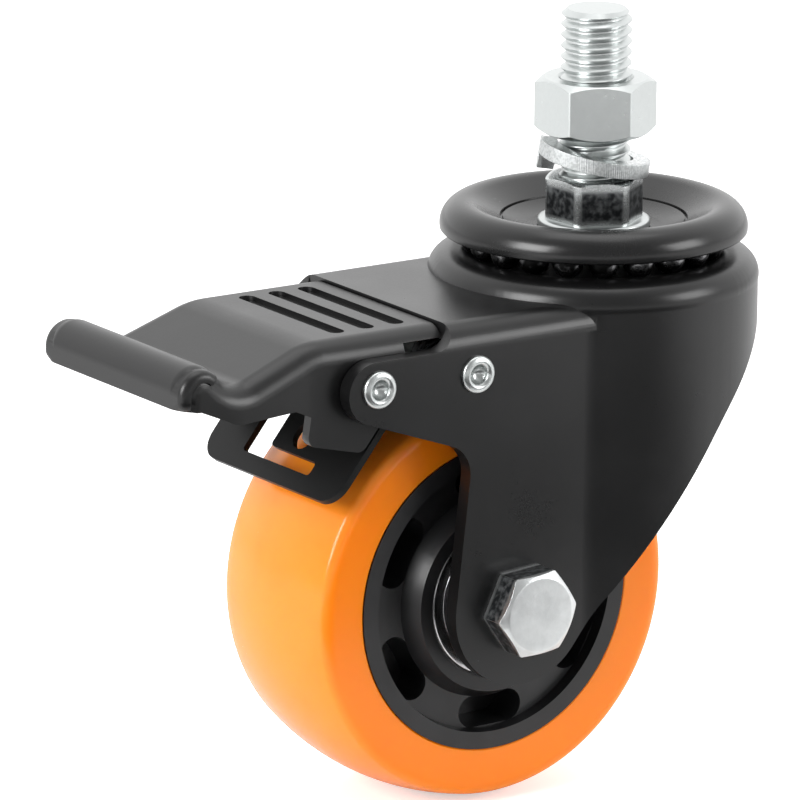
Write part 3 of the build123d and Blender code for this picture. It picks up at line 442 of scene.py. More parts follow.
# ------------------------------------------------------------------ modelling
class Bench:
    """Modelling steps that every sub-assembly uses. Sizes are in millimetres."""

    FLAT = 0.6  # degrees under which two faces of a CAD mesh are one

    @staticmethod
    def clear() -> None:
        """Leave edit mode and select nothing."""
        if bpy.context.object is not None and bpy.context.object.mode != "OBJECT":
            bpy.ops.object.mode_set(mode="OBJECT")
        bpy.ops.object.select_all(action="DESELECT")

    @classmethod
    def alone(cls, piece: Piece) -> None:
        """Select one piece and make it active."""
        cls.clear()
        piece.select_set(True)
        bpy.context.view_layer.objects.active = piece

    @staticmethod
    def arc(centre: Point, radius: float, start: float, end: float, count: int = 8) -> list[Point]:
        """List the points of an arc.

        Args:
            centre: its centre.
            radius: its radius.
            start: first angle in degrees.
            end: last angle in degrees.
            count: number of chords.

        Returns:
            The points from start to end.
        """
        turns = [math.radians(start + (end - start) * i / count) for i in range(count + 1)]
        return [
            (centre[0] + radius * math.cos(turn), centre[1] + radius * math.sin(turn))
            for turn in turns
        ]

    @classmethod
    def chain(
        cls, name: str, profile: Sequence[Point], way: Way = Way.UP, centre: Point3 = (0, 0, 0)
    ) -> Piece:
        """Draw a profile as a chain of edges, by extruding one vertex from point to point.

        Args:
            name: the piece's name.
            profile: points as radius and height along the axis.
            way: the axis.
            centre: where the axis starts.

        Returns:
            The piece, in edit mode with all selected.
        """
        cls.clear()
        bpy.ops.mesh.primitive_plane_add(size=MM, location=(0, 0, 0))
        piece = bpy.context.object
        piece.name = name
        bpy.ops.object.mode_set(mode="EDIT")
        bpy.ops.mesh.select_mode(type="VERT")
        bpy.ops.mesh.select_all(action="SELECT")
        bpy.ops.mesh.merge(type="CENTER")
        middle = Vector(centre) * MM
        if way is Way.UP:
            points = [middle + Vector((r, 0, h)) * MM for r, h in profile]
        else:
            points = [middle + Vector((r, h, 0)) * MM for r, h in profile]
        bpy.ops.transform.translate(value=points[0])
        for last, point in zip(points, points[1:]):
            bpy.ops.mesh.extrude_region_move(TRANSFORM_OT_translate={"value": point - last})
        bpy.ops.mesh.select_all(action="SELECT")
        return piece

    @classmethod
    def turned(
        cls,
        name: str,
        profile: Sequence[Point],
        way: Way = Way.UP,
        centre: Point3 = (0, 0, 0),
        steps: int = 96,
        sharp: float = 30.0,
    ) -> Piece:
        """Turn a profile into a body, as on a lathe.

        Args:
            name: the piece's name.
            profile: points as radius and height along the axis.
            way: the axis.
            centre: where the axis starts.
            steps: sides of the body.
            sharp: edges over this many degrees stay sharp.

        Returns:
            The piece.
        """
        piece = cls.chain(name, profile, way, centre)
        axis = (0, 0, 1) if way is Way.UP else (0, 1, 0)
        bpy.ops.mesh.spin(
            steps=steps, angle=2 * math.pi, center=Vector(centre) * MM, axis=axis,
            use_auto_merge=True,
        )
        cls.weld(piece)
        bpy.ops.mesh.normals_make_consistent(inside=False)
        cls.shade(piece, sharp)
        return piece

    @classmethod
    def weld(cls, piece: Piece) -> None:
        """Merge a piece's doubles, and leave it in edit mode with all selected."""
        cls.alone(piece)
        bpy.ops.object.mode_set(mode="EDIT")
        bpy.ops.mesh.select_all(action="SELECT")
        bpy.ops.mesh.remove_doubles(threshold=MERGE)

    @classmethod
    def apply(cls, piece: Piece, kind: str, **settings: object) -> None:
        """Add a modifier of this kind with these settings to a piece, and apply it."""
        step = piece.modifiers.new("step", kind)
        for key, value in settings.items():
            setattr(step, key, value)
        cls.alone(piece)
        bpy.ops.object.modifier_apply(modifier=step.name)

    @staticmethod
    def coat(piece: Piece, material: Material) -> None:
        """Give a piece this material and no other."""
        piece.data.materials.clear()
        piece.data.materials.append(material)

    @classmethod
    def hexagon(
        cls, name: str, across: float, low: float, high: float, turn: float = 0.0,
        way: Way = Way.UP, centre: Point3 = (0, 0, 0), corner: float = 0.3,
    ) -> Piece:
        """Make a hexagonal bar with rounded corners.

        Args:
            name: the piece's name.
            across: distance over the flats.
            low: its start along the axis.
            high: its end.
            turn: degrees that it is turned about the axis.
            way: the axis.
            centre: where the axis starts.
            corner: width of the rounding along its corners.

        Returns:
            The piece.
        """
        middle = (low + high) / 2
        if way is Way.UP:
            at = Vector((centre[0], centre[1], centre[2] + middle))
            tilt = (0, 0, math.radians(turn))
        else:
            at = Vector((centre[0], centre[1] + middle, centre[2]))
            tilt = (math.radians(90), math.radians(turn), 0)
        cls.clear()
        bpy.ops.mesh.primitive_cylinder_add(
            vertices=6, radius=across / math.sqrt(3) * MM, depth=(high - low) * MM,
            location=at * MM, rotation=tilt,
        )
        piece = bpy.context.object
        piece.name = name
        bpy.ops.object.transform_apply(location=True, rotation=True, scale=True)
        along = 2 if way is Way.UP else 1
        cls.bevel(piece, lambda first, last: abs(first[along] - last[along]) > MM, corner)
        return piece

    @classmethod
    def bevel(
        cls, piece: Piece, picked: Callable[[Vector, Vector], bool], width: float
    ) -> None:
        """Round some edges of a piece.

        Args:
            piece: the piece.
            picked: tells from an edge's two ends whether it is rounded.
            width: width of the rounding.
        """
        cls.alone(piece)
        bpy.ops.object.mode_set(mode="EDIT")
        bpy.ops.mesh.select_mode(type="EDGE")
        bpy.ops.mesh.select_all(action="DESELECT")
        bpy.ops.object.mode_set(mode="OBJECT")
        corners = piece.data.vertices
        for edge in piece.data.edges:
            edge.select = picked(corners[edge.vertices[0]].co, corners[edge.vertices[1]].co)
        bpy.ops.object.mode_set(mode="EDIT")
        bpy.ops.mesh.bevel(offset=width * MM, segments=5)
        bpy.ops.object.mode_set(mode="OBJECT")

    @classmethod
    def keep(cls, piece: Piece, tool: Piece) -> None:
        """Keep only what of a piece lies inside a tool body, and delete the tool."""
        cls.apply(piece, "BOOLEAN", operation="INTERSECT", solver="EXACT", object=tool)
        bpy.data.objects.remove(tool, do_unlink=True)

    @classmethod
    def round(cls, piece: Piece, width: float, segments: int, over: float, sharp: float) -> None:
        """Round a piece's edges and shade it smooth.

        Args:
            piece: the piece.
            width: width of the rounding.
            segments: faces across it.
            over: only edges over this many degrees are rounded.
            sharp: edges over this many degrees are shaded sharp.
        """
        cls.apply(
            piece, "BEVEL", width=width * MM, segments=segments, limit_method="ANGLE",
            angle_limit=math.radians(over), use_clamp_overlap=True, harden_normals=False,
        )
        cls.shade(piece, sharp)
        cls.apply(piece, "WEIGHTED_NORMAL", keep_sharp=True, weight=60)

    @classmethod
    def shade(cls, piece: Piece, sharp: float) -> None:
        """Shade a piece smooth, apart from edges over this many degrees."""
        cls.alone(piece)
        bpy.ops.object.shade_smooth_by_angle(angle=math.radians(sharp))

    @classmethod
    def blank(cls, node: str) -> Piece:
        """Take a copy of a CAD node, with its loose triangles merged to whole faces."""
        piece = bpy.data.objects.new(node + "_looks", bpy.data.objects[node].data.copy())
        bpy.context.scene.collection.objects.link(piece)
        cls.weld(piece)
        bpy.ops.mesh.dissolve_limited(angle_limit=math.radians(cls.FLAT))
        bpy.ops.object.mode_set(mode="OBJECT")
        return piece

    @classmethod
    def softened(cls, node: str, width: float, segments: int, over: float, sharp: float) -> Piece:
        """Take a copy of a CAD node and round its edges, as in round."""
        piece = cls.blank(node)
        cls.round(piece, width, segments, over, sharp)
        return piece

    @classmethod
    def join(cls, name: str, pieces: Sequence[Piece]) -> Piece:
        """Join several pieces to the first of them, under this name."""
        cls.alone(pieces[0])
        for piece in pieces[1:]:
            piece.select_set(True)
        bpy.ops.object.join()
        pieces[0].name = name
        return pieces[0]

    @staticmethod
    def finish(
        piece: Piece, material: Material, body: str, node: str
    ) -> Piece:
        """Dress a piece, carry it on its body and let it stand for a CAD node.

        Args:
            piece: the piece.
            material: its finish.
            body: the body that it moves with.
            node: the CAD node that it stands for.

        Returns:
            The piece.
        """
        Bench.coat(piece, material)
        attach(piece, body)
        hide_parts(node)
        LOG.info("%s stands for %s, %d faces", piece.name, node, len(piece.data.polygons))
        return piece


# ------------------------------------------------------------------ sub-assemblies
@dataclass
class Stem:
    """The threaded stem with its forged shoulder, its nut and its spring washer."""

    crest: float = 6.35
    root: float = 5.45
    pitch: float = 1.954
    top: float = 30.1
    lead: float = 1.1
    shoulder_across: float = SHOULDER_ACROSS
    shoulder_height: float = 7.7
    shoulder_turn: float = SHOULDER_TURN
    flange: float = 10.1
    flange_height: float = 1.6
    journal: float = 6.0
    rivet: float = 8.5
    rivet_at: float = -22.8
    rivet_height: float = 3.0
    nut_across: float = 19.0
    nut_low: float = 7.7
    nut_high: float = 17.7
    nut_chamfer: float = 1.25
    nut_mouth: float = 0.95
    corner: float = 1.35
    trim: float = 0.02

    def thread(self) -> Piece:
        """Screw one turn's profile up the stem and trim it to the stem's ends."""
        start = -3 * self.pitch
        turns = math.ceil((self.top - start) / self.pitch) + 2
        steps = [(self.root, 0.0), (self.root + 0.05, 0.10), (self.crest - 0.12, 0.40),
                 (self.crest, 0.46), (self.crest, 0.54), (self.crest - 0.12, 0.60),
                 (self.root + 0.05, 0.90), (self.root, 1.0)]
        profile = [(radius, start + share * self.pitch) for radius, share in steps]
        piece = Bench.chain("stem_thread", profile)
        bpy.ops.object.mode_set(mode="OBJECT")
        Bench.apply(
            piece, "SCREW", axis="Z", angle=2 * math.pi, screw_offset=self.pitch * MM,
            iterations=turns, steps=64, render_steps=64, use_merge_vertices=True,
            merge_threshold=MERGE,
        )
        Bench.weld(piece)
        bpy.ops.mesh.fill_holes(sides=0)
        bpy.ops.mesh.select_all(action="SELECT")
        bpy.ops.mesh.normals_make_consistent(inside=False)
        bpy.ops.object.mode_set(mode="OBJECT")
        crest = self.crest + self.trim
        envelope = Bench.turned(
            "stem_envelope",
            [(0, -2.0), (crest, -2.0), (crest, self.top - self.lead),
             (crest - self.lead, self.top), (0, self.top)],
            steps=64,
        )
        Bench.keep(piece, envelope)
        Bench.shade(piece, 34.0)
        return piece

    def shoulder(self) -> Piece:
        """Forge the hexagon, with wide rounded corners and a top edge turned down."""
        across, height = self.shoulder_across, self.shoulder_height
        piece = Bench.hexagon(
            "stem_shoulder", across, -height - 0.3, 0.0, self.shoulder_turn, corner=self.corner
        )
        half = across / 2
        bell = Bench.turned(
            "shoulder_bell",
            [(0, -height - 1), (half + 3, -height - 1), (half + 3, -1.7)]
            + Bench.arc((half - 0.9, -2.3), 2.3, 18, 86, 8) + [(half - 1.2, 0.0), (0, 0.0)],
            steps=72,
        )
        Bench.keep(piece, bell)
        Bench.round(piece, 0.22, 2, 24.0, 38.0)
        return piece

    def kingpin(self) -> Piece:
        """Turn the flange, the journal and the riveted head below the hexagon."""
        edge, under = self.flange, -self.shoulder_height - self.flange_height
        low, head = self.rivet_at, self.rivet
        top = -self.shoulder_height
        profile = [(0, top + 0.4), (self.crest, top + 0.4), (self.crest + 0.8, top),
                   (edge - 0.8, top - 0.05)]
        profile += Bench.arc((edge - 0.62, top - 0.7), 0.62, 80, 0, 5)
        profile += Bench.arc((edge - 0.45, under + 0.45), 0.45, 0, -90, 4)
        profile += [(self.journal, under), (self.journal, low), (head - 0.4, low),
                    (head, low - 0.4)]
        profile += Bench.arc((head - 2.2, low - 0.8), 2.2, 0, -78, 7)
        profile += [(0, low - self.rivet_height)]
        return Bench.turned("stem_kingpin", profile)

    def nut(self) -> Piece:
        """Make the nut, chamfered on both sides, with a countersunk bore."""
        across, low, high = self.nut_across, self.nut_low, self.nut_high
        piece = Bench.hexagon("stem_nut_looks", across, low, high)
        half, mouth = across / 2, self.crest + 0.42
        ring = Bench.turned(
            "nut_ring",
            [(mouth, low), (half - 0.35, low), (half + 1.7, low + self.nut_chamfer),
             (half + 1.7, high - self.nut_chamfer), (half - 0.35, high), (mouth, high),
             (self.root + 0.42, high - self.nut_mouth), (self.root + 0.42, low + self.nut_mouth),
             (mouth, low)],
        )
        Bench.keep(piece, ring)
        Bench.round(piece, 0.42, 3, 24.0, 30.0)
        return piece

    def build(self, zinc: Material, forged: Material,
              washer: Material) -> None:
        """Build the stem, its forged shoulder, its nut and its washer, each in its finish."""
        stem = Bench.join("threaded_stem_looks", [self.thread(), self.kingpin()])
        Bench.finish(stem, zinc, "head", "threaded_stem")
        Bench.finish(self.shoulder(), forged, "head", "threaded_stem")
        Bench.finish(self.nut(), zinc, "head", "stem_nut")
        ring = Bench.softened("spring_washer", 0.25, 2, 35.0, 40.0)
        Bench.finish(ring, washer, "head", "spring_washer")


@dataclass
class Race:
    """The swivel race: the rolled cup and its upper ring of balls."""

    floor: float = -9.3
    under: float = -11.8
    crest_radius: float = 23.15
    crest_height: float = 4.53
    roll: float = 4.3
    cone: float = 28.0
    skirt: float = -10.0
    crease: float = 16.5
    clamp: float = 12.5
    bore: float = 6.0
    ball: float = 5.56
    ball_ring: float = 21.2
    ball_height: float = -11.27
    ball_count: int = 21

    def cup(self) -> Piece:
        """Turn the upper cup with its rolled rim and the creased dish."""
        sheet = self.floor - self.under
        centre = (self.crest_radius, self.floor + self.crest_height - self.roll)
        outer = Bench.arc(centre, self.roll, self.skirt, 90 + self.cone, 18)
        inner = Bench.arc(centre, self.roll - sheet, 90 + self.cone, self.skirt, 12)
        slope = math.tan(math.radians(self.cone))
        crease_z = outer[-1][1] - (outer[-1][0] - self.crease) * slope
        foot_r = inner[0][0] - (inner[0][1] - self.under) / slope
        lean, mid = math.radians(self.skirt), self.roll - sheet / 2
        end = (centre[0] + mid * math.cos(lean), centre[1] + mid * math.sin(lean))
        rim = centre[1] + self.roll * math.sin(lean)
        lip = Bench.arc(end, sheet / 2, self.skirt - 180, self.skirt, 6)[1:-1]
        lip = [(r, h * 0.5 + rim * 0.5) for r, h in lip]
        profile = outer + [(self.crease + 0.22, crease_z + 0.10)]
        profile += [(self.crease + 0.10, crease_z - 0.50), (self.crease - 0.20, crease_z - 0.55),
                    (self.crease - 0.32, crease_z - 0.12), (self.crease - 0.75, crease_z - 0.32),
                    (self.clamp + 0.3, self.floor + 0.06), (self.clamp - 0.4, self.floor),
                    (self.bore, self.floor), (self.bore, self.under), (foot_r, self.under)]
        profile += inner + lip + [outer[0]]
        return Bench.turned("race_cup_looks", profile, steps=128, sharp=35.0)

    def balls(self) -> Piece:
        """Make one ball and set copies of it round the race."""
        Bench.clear()
        bpy.ops.mesh.primitive_uv_sphere_add(
            segments=32, ring_count=18, radius=self.ball / 2 * MM,
            location=(self.ball_ring * MM, 0, self.ball_height * MM),
        )
        first = bpy.context.object
        bpy.ops.object.transform_apply(location=True, rotation=True, scale=True)
        Bench.shade(first, 60.0)
        balls = [first]
        for index in range(1, self.ball_count):
            ball = bpy.data.objects.new("race_ball", first.data.copy())
            ball.data.transform(Matrix.Rotation(2 * math.pi * index / self.ball_count, 4, "Z"))
            bpy.context.scene.collection.objects.link(ball)
            balls.append(ball)
        return Bench.join("race_balls_looks", balls)

    def build(self, black: Material, ball: Material) -> None:
        """Build the cup in black paint and its balls in their finish."""
        Bench.finish(self.cup(), black, "head", "race_cup")
        Bench.finish(self.balls(), ball, "fork", "race_balls")


@dataclass
class Fork:
    """The pressed yoke and its hollow rivets."""

    sheet_round: float = 0.45
    half_width: float = 24.5
    pins: tuple[Point, Point] = (PEDAL_PIN, BRAKE_PIN)
    head: float = 3.35
    head_height: float = 0.9
    hollow: float = 1.65
    shank: float = 2.5

    def rivet(self, name: str, pin: Point) -> Piece:
        """Turn a hollow rivet of this name, with a rolled head at each end, on a pin's axis."""
        face, end = self.half_width, self.half_width + self.head_height
        rim = (self.head + self.hollow) / 2
        half = [(0, end - 1.75), (0.35, end - 1.7), (self.hollow - 0.45, end - 1.35),
                (self.hollow - 0.12, end - 0.8)]
        half += Bench.arc((rim, end - 0.72), rim - self.hollow + 0.02, 175, 90, 6)
        half += Bench.arc((self.head - 0.62, end - 0.62), 0.62, 84, 0, 6)
        half += [(self.head, face), (self.shank, face)]
        mirrored = [(radius, -height) for radius, height in reversed(half)]
        return Bench.turned(name, half + mirrored, Way.ACROSS, (pin[0], 0, pin[1]), 48, 40.0)

    def build(self, black: Material, zinc: Material) -> None:
        """Build the yoke in black paint and its rivets in zinc."""
        yoke = Bench.softened("fork_yoke", self.sheet_round, 3, 38.0, 32.0)
        Bench.finish(yoke, black, "fork", "fork_yoke")
        for node, pin in zip(("pedal_rivet", "brake_rivet"), self.pins):
            Bench.finish(self.rivet(node + "_looks", pin), zinc, "fork", node)


@dataclass
class Wheel:
    """The tyre, its core, the bearings and the axle."""

    centre: Point3 = AXLE
    radius: float = 38.1
    half_width: float = 16.0
    crown: float = 1.8
    shoulder_width: float = 1.5
    shoulder_height: float = 2.4
    core: float = 27.75
    bearing: float = 14.0
    bearing_face: float = 17.3
    land: float = 11.5
    inner_land: float = 8.9
    sleeve: float = 6.0
    head_across: float = 14.29
    head_turn: float = 25.3
    head_face: float = 24.5
    head_height: float = 5.9
    shank: float = 4.75
    tip: float = 10.2
    tip_chamfer: float = 0.8
    ring_depth: float = 8.0

    def tyre(self) -> Piece:
        """Turn the tread, with its crown and rounded shoulders."""
        top, side = self.radius - self.crown, self.half_width
        flat = side - self.shoulder_width
        sag = [(top + self.crown * (1 - (share / 8) ** 2), flat * share / 8) for share in range(8)]
        shoulder = [(top - self.shoulder_height * (1 - math.cos(turn)),
                     flat + self.shoulder_width * math.sin(turn))
                    for turn in (math.radians(12 + 13 * index) for index in range(7))]
        shoulder[0] = (top - 0.05, flat + 0.25)
        half = sag + shoulder + [(top - self.shoulder_height - 0.4, side), (self.core + 0.35, side),
                                 (self.core, side - 0.3)]
        mirrored = [(radius, -height) for radius, height in reversed(half[1:])]
        profile = mirrored + half + [mirrored[0]]
        return Bench.turned("tyre_looks", profile, Way.ACROSS, self.centre, 160, 40.0)

    def rings(self, name: str, outer: float, inner: float, face: float, depth: float,
              edge: float) -> Piece:
        """Turn a pair of rings, one on each side of the wheel.

        Args:
            name: the piece's name.
            outer: outer radius.
            inner: inner radius.
            face: outer face from the wheel's middle.
            depth: width of a ring.
            edge: rounding of its outer corners.

        Returns:
            Both rings as one piece.
        """
        pair = []
        for side in (-1, 1):
            profile = [(outer, side * (face - depth))]
            profile += [(outer + (r - 1) * edge, side * (face + (h - 1) * edge))
                        for r, h in Bench.arc((0, 0), 1.0, 0, 90, 4)]
            profile += [(inner + (1 - r) * edge, side * (face + (h - 1) * edge))
                        for r, h in Bench.arc((0, 0), 1.0, 90, 0, 4)]
            profile += [(inner, side * (face - depth)), (outer, side * (face - depth))]
            pair.append(Bench.turned(name, profile, Way.ACROSS, self.centre, 80, 35.0))
        return Bench.join(name, pair)

    def bolt(self, zinc: Material) -> None:
        """Build the axle bolt: a forged, chamfered hexagonal head and a zinc shank with its tip."""
        face, end, half = -self.head_face, -self.head_face - self.head_height, self.head_across / 2
        head = Bench.hexagon(
            "axle_head", self.head_across, end, face, self.head_turn, Way.ACROSS, self.centre
        )
        dome = Bench.turned(
            "head_dome",
            [(0, end), (half - 0.7, end), (half - 0.35, end + 0.12), (half + 2.2, end + 1.75),
             (half + 2.2, face), (0, face)],
            Way.ACROSS, self.centre,
        )
        Bench.keep(head, dome)
        Bench.round(head, 0.22, 3, 20.0, 30.0)
        forged = Forging(
            self.head_across, self.head_turn, -face + 0.2, -end - 0.9, Way.ACROSS, self.centre,
            (0.86, 0.88, 0.88), 0.34,
        )
        Bench.finish(head, forged.paint("bolt_zinc"), "fork", "axle_bolt")
        tip = self.head_face + self.tip
        shank = Bench.turned(
            "axle_shank",
            [(0, face - 0.2), (self.shank, face - 0.2), (self.shank, tip - self.tip_chamfer),
             (self.shank - self.tip_chamfer, tip), (0, tip)],
            Way.ACROSS, self.centre, 48,
        )
        Bench.finish(shank, zinc, "fork", "axle_bolt")

    def build(self, tread: Material, plastic: Material,
              steel: Material, shield: Material,
              zinc: Material) -> None:
        """Build the tyre, core, rings, shields, bolt and lock nut, each in its finish."""
        Bench.finish(self.tyre(), tread, "wheel", "tyre")
        hub = Bench.softened("wheel_core", 0.4, 3, 28.0, 32.0)
        Bench.finish(hub, plastic, "wheel", "wheel_core")
        rings = (
            ("outer_rings", self.bearing, self.land, 0.0, self.ring_depth, 0.4, steel, "wheel"),
            ("inner_rings", self.inner_land, self.sleeve, 0.0, self.ring_depth, 0.3, steel, "fork"),
            ("shields", self.land, self.inner_land + 0.3, 0.5, 0.5, 0.15, shield, "wheel"),
        )
        for kind, outer, inner, back, depth, edge, material, body in rings:
            node = "bearing_" + kind
            pair = self.rings(node + "_looks", outer, inner, self.bearing_face - back, depth, edge)
            Bench.finish(pair, material, body, node)
        self.bolt(zinc)
        locknut = Bench.softened("axle_locknut", 0.25, 2, 24.0, 32.0)
        Bench.finish(locknut, zinc, "fork", "axle_locknut")


@dataclass
class Brake:
    """The pedal, the brake plate and the spring that turns the plate back."""

    pedal_round: float = 0.5
    plate_round: float = 0.3
    front: float = -101.3
    lip_half: float = 22.5
    lip_radius: float = 4.5
    lip_axis: Point = (-96.8, -22.82)
    lip_low: float = -25.12
    lip_corner: float = 1.7
    lip_end: float = 1.5
    lip_fill: float = 3.2
    lip_wall: float = 2.5
    near: float = 0.03
    plug_depth: float = 5.0
    plug_round: float = 1.6
    spring_pin: Point = BRAKE_PIN
    spring_arm: Point = (-45.0, -28.0)

    def outline(self, point: Vector) -> bool:
        """Tell whether a point is on the outer outline of an end of the lip."""
        x, y, z = (value / MM for value in point)
        reach = math.hypot(x - self.lip_axis[0], z - self.lip_axis[1])
        at_end = abs(abs(y) - self.lip_half) < self.near
        arc = at_end and z > self.lip_axis[1] and abs(reach - self.lip_radius) < self.near
        low = z < self.lip_axis[1] + self.near and abs(y) > self.lip_half - self.lip_wall
        wall = low and abs(x - self.front) < self.near
        return arc or wall

    def corner(self, point: Vector) -> bool:
        """Tell whether a point is on a lower corner of the lip."""
        at_end = abs(abs(point.y) / MM - self.lip_half) < self.near
        return at_end and abs(point.z / MM - self.lip_low) < self.near

    def pedal(self) -> Piece:
        """Round the pressing's edges and dome the ends of its lip."""
        piece = Bench.blank("brake_pedal")
        for picked, width in ((self.corner, self.lip_corner), (self.outline, self.lip_end)):
            Bench.bevel(piece, lambda *ends: all(picked(end) for end in ends), width)
        Bench.round(piece, self.pedal_round, 3, 36.0, 32.0)
        ends, bend = [], self.plug_round
        for side in (-1, 1):
            end, inside = side * (self.lip_half - 0.1), side * (self.lip_half - self.plug_depth)
            profile = [(0, inside), (self.lip_fill, inside), (self.lip_fill, end - side * bend)]
            profile += [(radius, end - side * (bend - height))
                        for radius, height in Bench.arc((self.lip_fill - bend, 0), bend, 15, 75, 5)]
            profile += [(0, end + side * 0.05)]
            centre = (self.lip_axis[0], 0, self.lip_axis[1])
            ends.append(Bench.turned("lip_end", profile, Way.ACROSS, centre, 40, 50.0))
        return Bench.join("brake_pedal_looks", [piece] + ends)

    def spring(self, wire: Material) -> None:
        """Dress a copy of the return spring in wire, where it stands, and hide its CAD node."""
        piece = Bench.blank("return_spring")
        Bench.shade(piece, 60.0)
        Bench.coat(piece, wire)
        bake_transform(piece)
        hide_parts("return_spring")

    def build(self, black: Material, dark: Material,
              wire: Material) -> None:
        """Build the pedal in black paint, the plate in dark paint and the spring in wire."""
        self.spring(wire)
        Bench.finish(self.pedal(), black, "pedal", "brake_pedal")
        plate = Bench.softened("brake_plate", self.plate_round, 2, 36.0, 32.0)
        Bench.finish(plate, dark, "plate", "brake_plate")


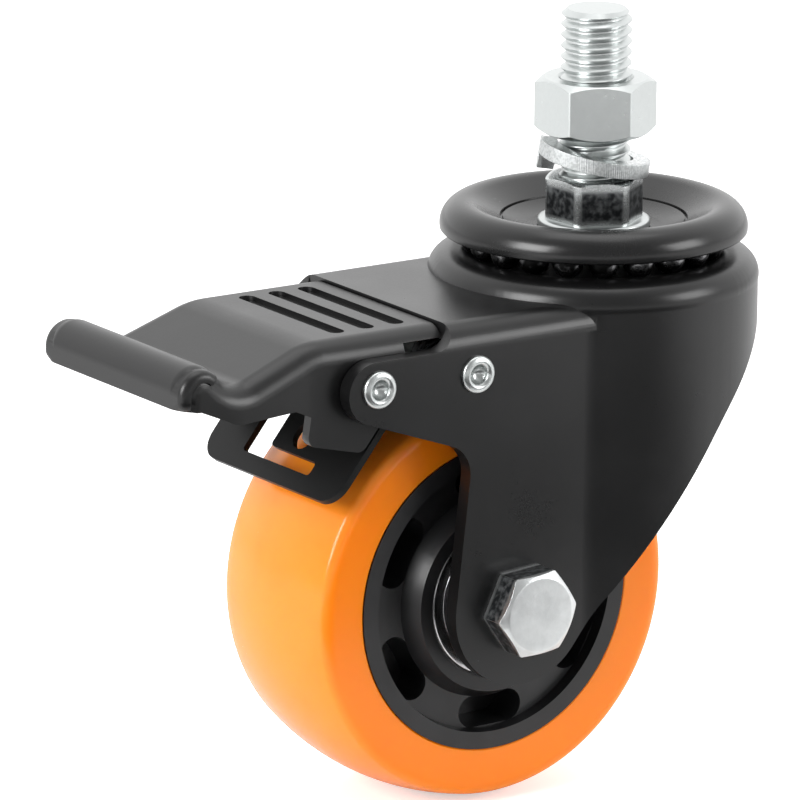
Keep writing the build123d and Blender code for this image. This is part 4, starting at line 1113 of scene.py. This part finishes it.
# ------------------------------------------------------------------ studio
@dataclass
class Studio:
    """Floor, lamps, dark card and camera."""

    eye: Point3 = (-0.99510078, -1.41220286, 0.40824051)
    look: Point3 = (0.54167635, 0.80186011, -0.25220447)
    roll: float = 0.586
    lens: float = 450.0
    floor_z: float = -0.10755
    card_lift: float = 0.00005
    white: Colour = (0.86, 0.86, 0.86)
    aim: Point3 = (-0.03, 0.0, -0.05)
    beyond: Point3 = (0.50, 0.80, 0.33)
    room: tuple[float, float, float, float] = (-0.5, 0.7, 0.40, 1.36)

    def camera(self) -> None:
        """Place the camera."""
        forward = Vector(self.look).normalized()
        right = forward.cross(Vector((0, 0, 1))).normalized()
        up = right.cross(forward)
        turn = math.radians(self.roll)
        right2 = right * math.cos(turn) + up * math.sin(turn)
        up2 = up * math.cos(turn) - right * math.sin(turn)
        data = bpy.data.cameras.new("camera")
        data.lens = self.lens
        data.sensor_width = 36.0
        data.clip_start = 0.01
        data.clip_end = 60.0
        camera = bpy.data.objects.new("camera", data)
        frame_axes = Matrix((right2, up2, -forward)).transposed()
        camera.matrix_world = Matrix.Translation(Vector(self.eye)) @ frame_axes.to_4x4()
        bpy.context.scene.collection.objects.link(camera)
        bpy.context.scene.camera = camera

    @staticmethod
    def seen(paint: Paint) -> Wire:
        """Tell rays that come straight from the camera or through a clear surface."""
        path = paint.node("ShaderNodeLightPath")
        outputs = path.socket.node.outputs
        straight = Wire(paint, outputs["Is Camera Ray"])
        return straight.larger(Wire(paint, outputs["Is Transmission Ray"]))

    def ground(self, name: str, tone: Colour) -> Paint:
        """Make a ground that the camera sees white and shiny surfaces see in its own tone."""
        paint = Paint(name)
        seen = self.seen(paint)
        return paint.set(
            Base_Color=paint.mix(seen, tone, self.white),
            Roughness=0.8,
            Specular_IOR_Level=0.0,
            Emission_Color=paint.mix(seen, (0.0, 0.0, 0.0), (0.5, 0.5, 0.5)),
            Emission_Strength=1.0,
        )

    def floor(self) -> None:
        """Lay a white floor that keeps the castor's shadow."""
        Bench.clear()
        bpy.ops.mesh.primitive_plane_add(size=16.0, location=(0, 0, self.floor_z))
        plane = bpy.context.object
        plane.name = "floor"
        paint = self.ground("floor_white", self.white)
        plane.data.materials.append(paint.material)

    def card(self, name: str, middle: Point, turn: float, wide: float, deep: float) -> None:
        """Lay a dark card on the floor before the castor, for gloss paint and metal to mirror.

        Args:
            name: its name.
            middle: its middle on the floor.
            turn: degrees that it is turned about the vertical.
            wide: its width.
            deep: its depth.
        """
        Bench.clear()
        bpy.ops.mesh.primitive_plane_add(
            size=1.0,
            location=(middle[0], middle[1], self.floor_z + self.card_lift),
            rotation=(0, 0, math.radians(turn)),
        )
        card = bpy.context.object
        card.name = name
        card.scale = (wide, deep, 1.0)
        paint = self.ground(name, (0.05, 0.05, 0.052))
        card.data.materials.append(paint.material)

    def world(self) -> None:
        """Light the room, brighter beyond the castor than before it, and show it white."""
        world = bpy.data.worlds.new("world")
        world.use_nodes = True
        tree = world.node_tree
        place = tree.nodes.new("ShaderNodeTexCoord")
        facing = tree.nodes.new("ShaderNodeVectorMath")
        facing.operation = "DOT_PRODUCT"
        facing.inputs[1].default_value = self.beyond
        level = tree.nodes.new("ShaderNodeMapRange")
        level.interpolation_type = "SMOOTHSTEP"
        for socket, value in zip(("From Min", "From Max", "To Min", "To Max"), self.room):
            level.inputs[socket].default_value = value
        path = tree.nodes.new("ShaderNodeLightPath")
        shown = tree.nodes.new("ShaderNodeMix")
        shown.inputs[3].default_value = 1.0
        tree.links.new(place.outputs["Generated"], facing.inputs[0])
        tree.links.new(facing.outputs["Value"], level.inputs["Value"])
        tree.links.new(path.outputs["Is Camera Ray"], shown.inputs[0])
        tree.links.new(level.outputs["Result"], shown.inputs[2])
        background = tree.nodes["Background"]
        background.inputs["Color"].default_value = (1, 1, 1, 1)
        tree.links.new(shown.outputs[0], background.inputs["Strength"])
        bpy.context.scene.world = world

    def lamp(self, name: str, place: Point3, size: float, power: float) -> None:
        """Hang a square area lamp, its side in metres and its power in watts, and aim it."""
        data = bpy.data.lights.new(name, "AREA")
        data.size = size
        data.energy = power
        lamp = bpy.data.objects.new(name, data)
        lamp.location = place
        aim = Vector(self.aim) - Vector(place)
        lamp.rotation_euler = aim.to_track_quat("-Z", "Y").to_euler()
        bpy.context.scene.collection.objects.link(lamp)

    def build(self) -> None:
        """Set the whole studio up."""
        bpy.context.scene.view_settings.view_transform = "Standard"
        self.camera()
        self.floor()
        self.world()
        self.card("dark_card", (-0.095, -0.274), -19.0, 0.46, 0.36)
        self.lamp("key", (-1.35, -0.15, 0.55), 0.7, 17.0)
        self.lamp("top", (0.1, 0.1, 1.5), 1.0, 4.0)
        self.lamp("fill", (0.9, -1.1, 0.5), 0.7, 9.0)


def main() -> None:
    """Build and dress the castor."""
    logging.basicConfig(level=logging.INFO)
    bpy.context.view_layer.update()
    Studio().build()
    zinc = Zinc().paint()
    steel = GroundSteel().paint()
    shield = GroundSteel("shield_steel", (0.30, 0.30, 0.31), (0.22, 0.22, 0.23), 0.35).paint()
    ball = ShadedGreasedBall().paint()
    fork_black = BlackPaint().paint("fork_black")
    pedal_black = BlackPaint(rough=0.33).paint("pedal_black")
    cup_black = BlackPaint(rough=0.26).paint("cup_black")
    plate_black = BlackPaint(rough=0.42, shine=0.2).paint("plate_black")
    spring = GroundSteel("spring_wire", (0.25, 0.25, 0.26), (0.18, 0.18, 0.19), 0.35).paint()
    finishes = {
        "lower_race_dish": zinc, "lower_race_balls": ball, "axle_sleeve": steel,
        "axle_collars": steel, "bearing_balls": ball,
    }
    for node, material in finishes.items():
        Bench.coat(bpy.data.objects[node], material)
    Stem().build(zinc, Forging().paint("forged_zinc"), Washer().paint())
    Race().build(cup_black, ball)
    Fork().build(fork_black, zinc)
    Wheel().build(Polyurethane().paint(), CorePlastic().paint(), steel, shield, zinc)
    Brake().build(pedal_black, plate_black, spring)


if __name__ == "__main__":
    main()
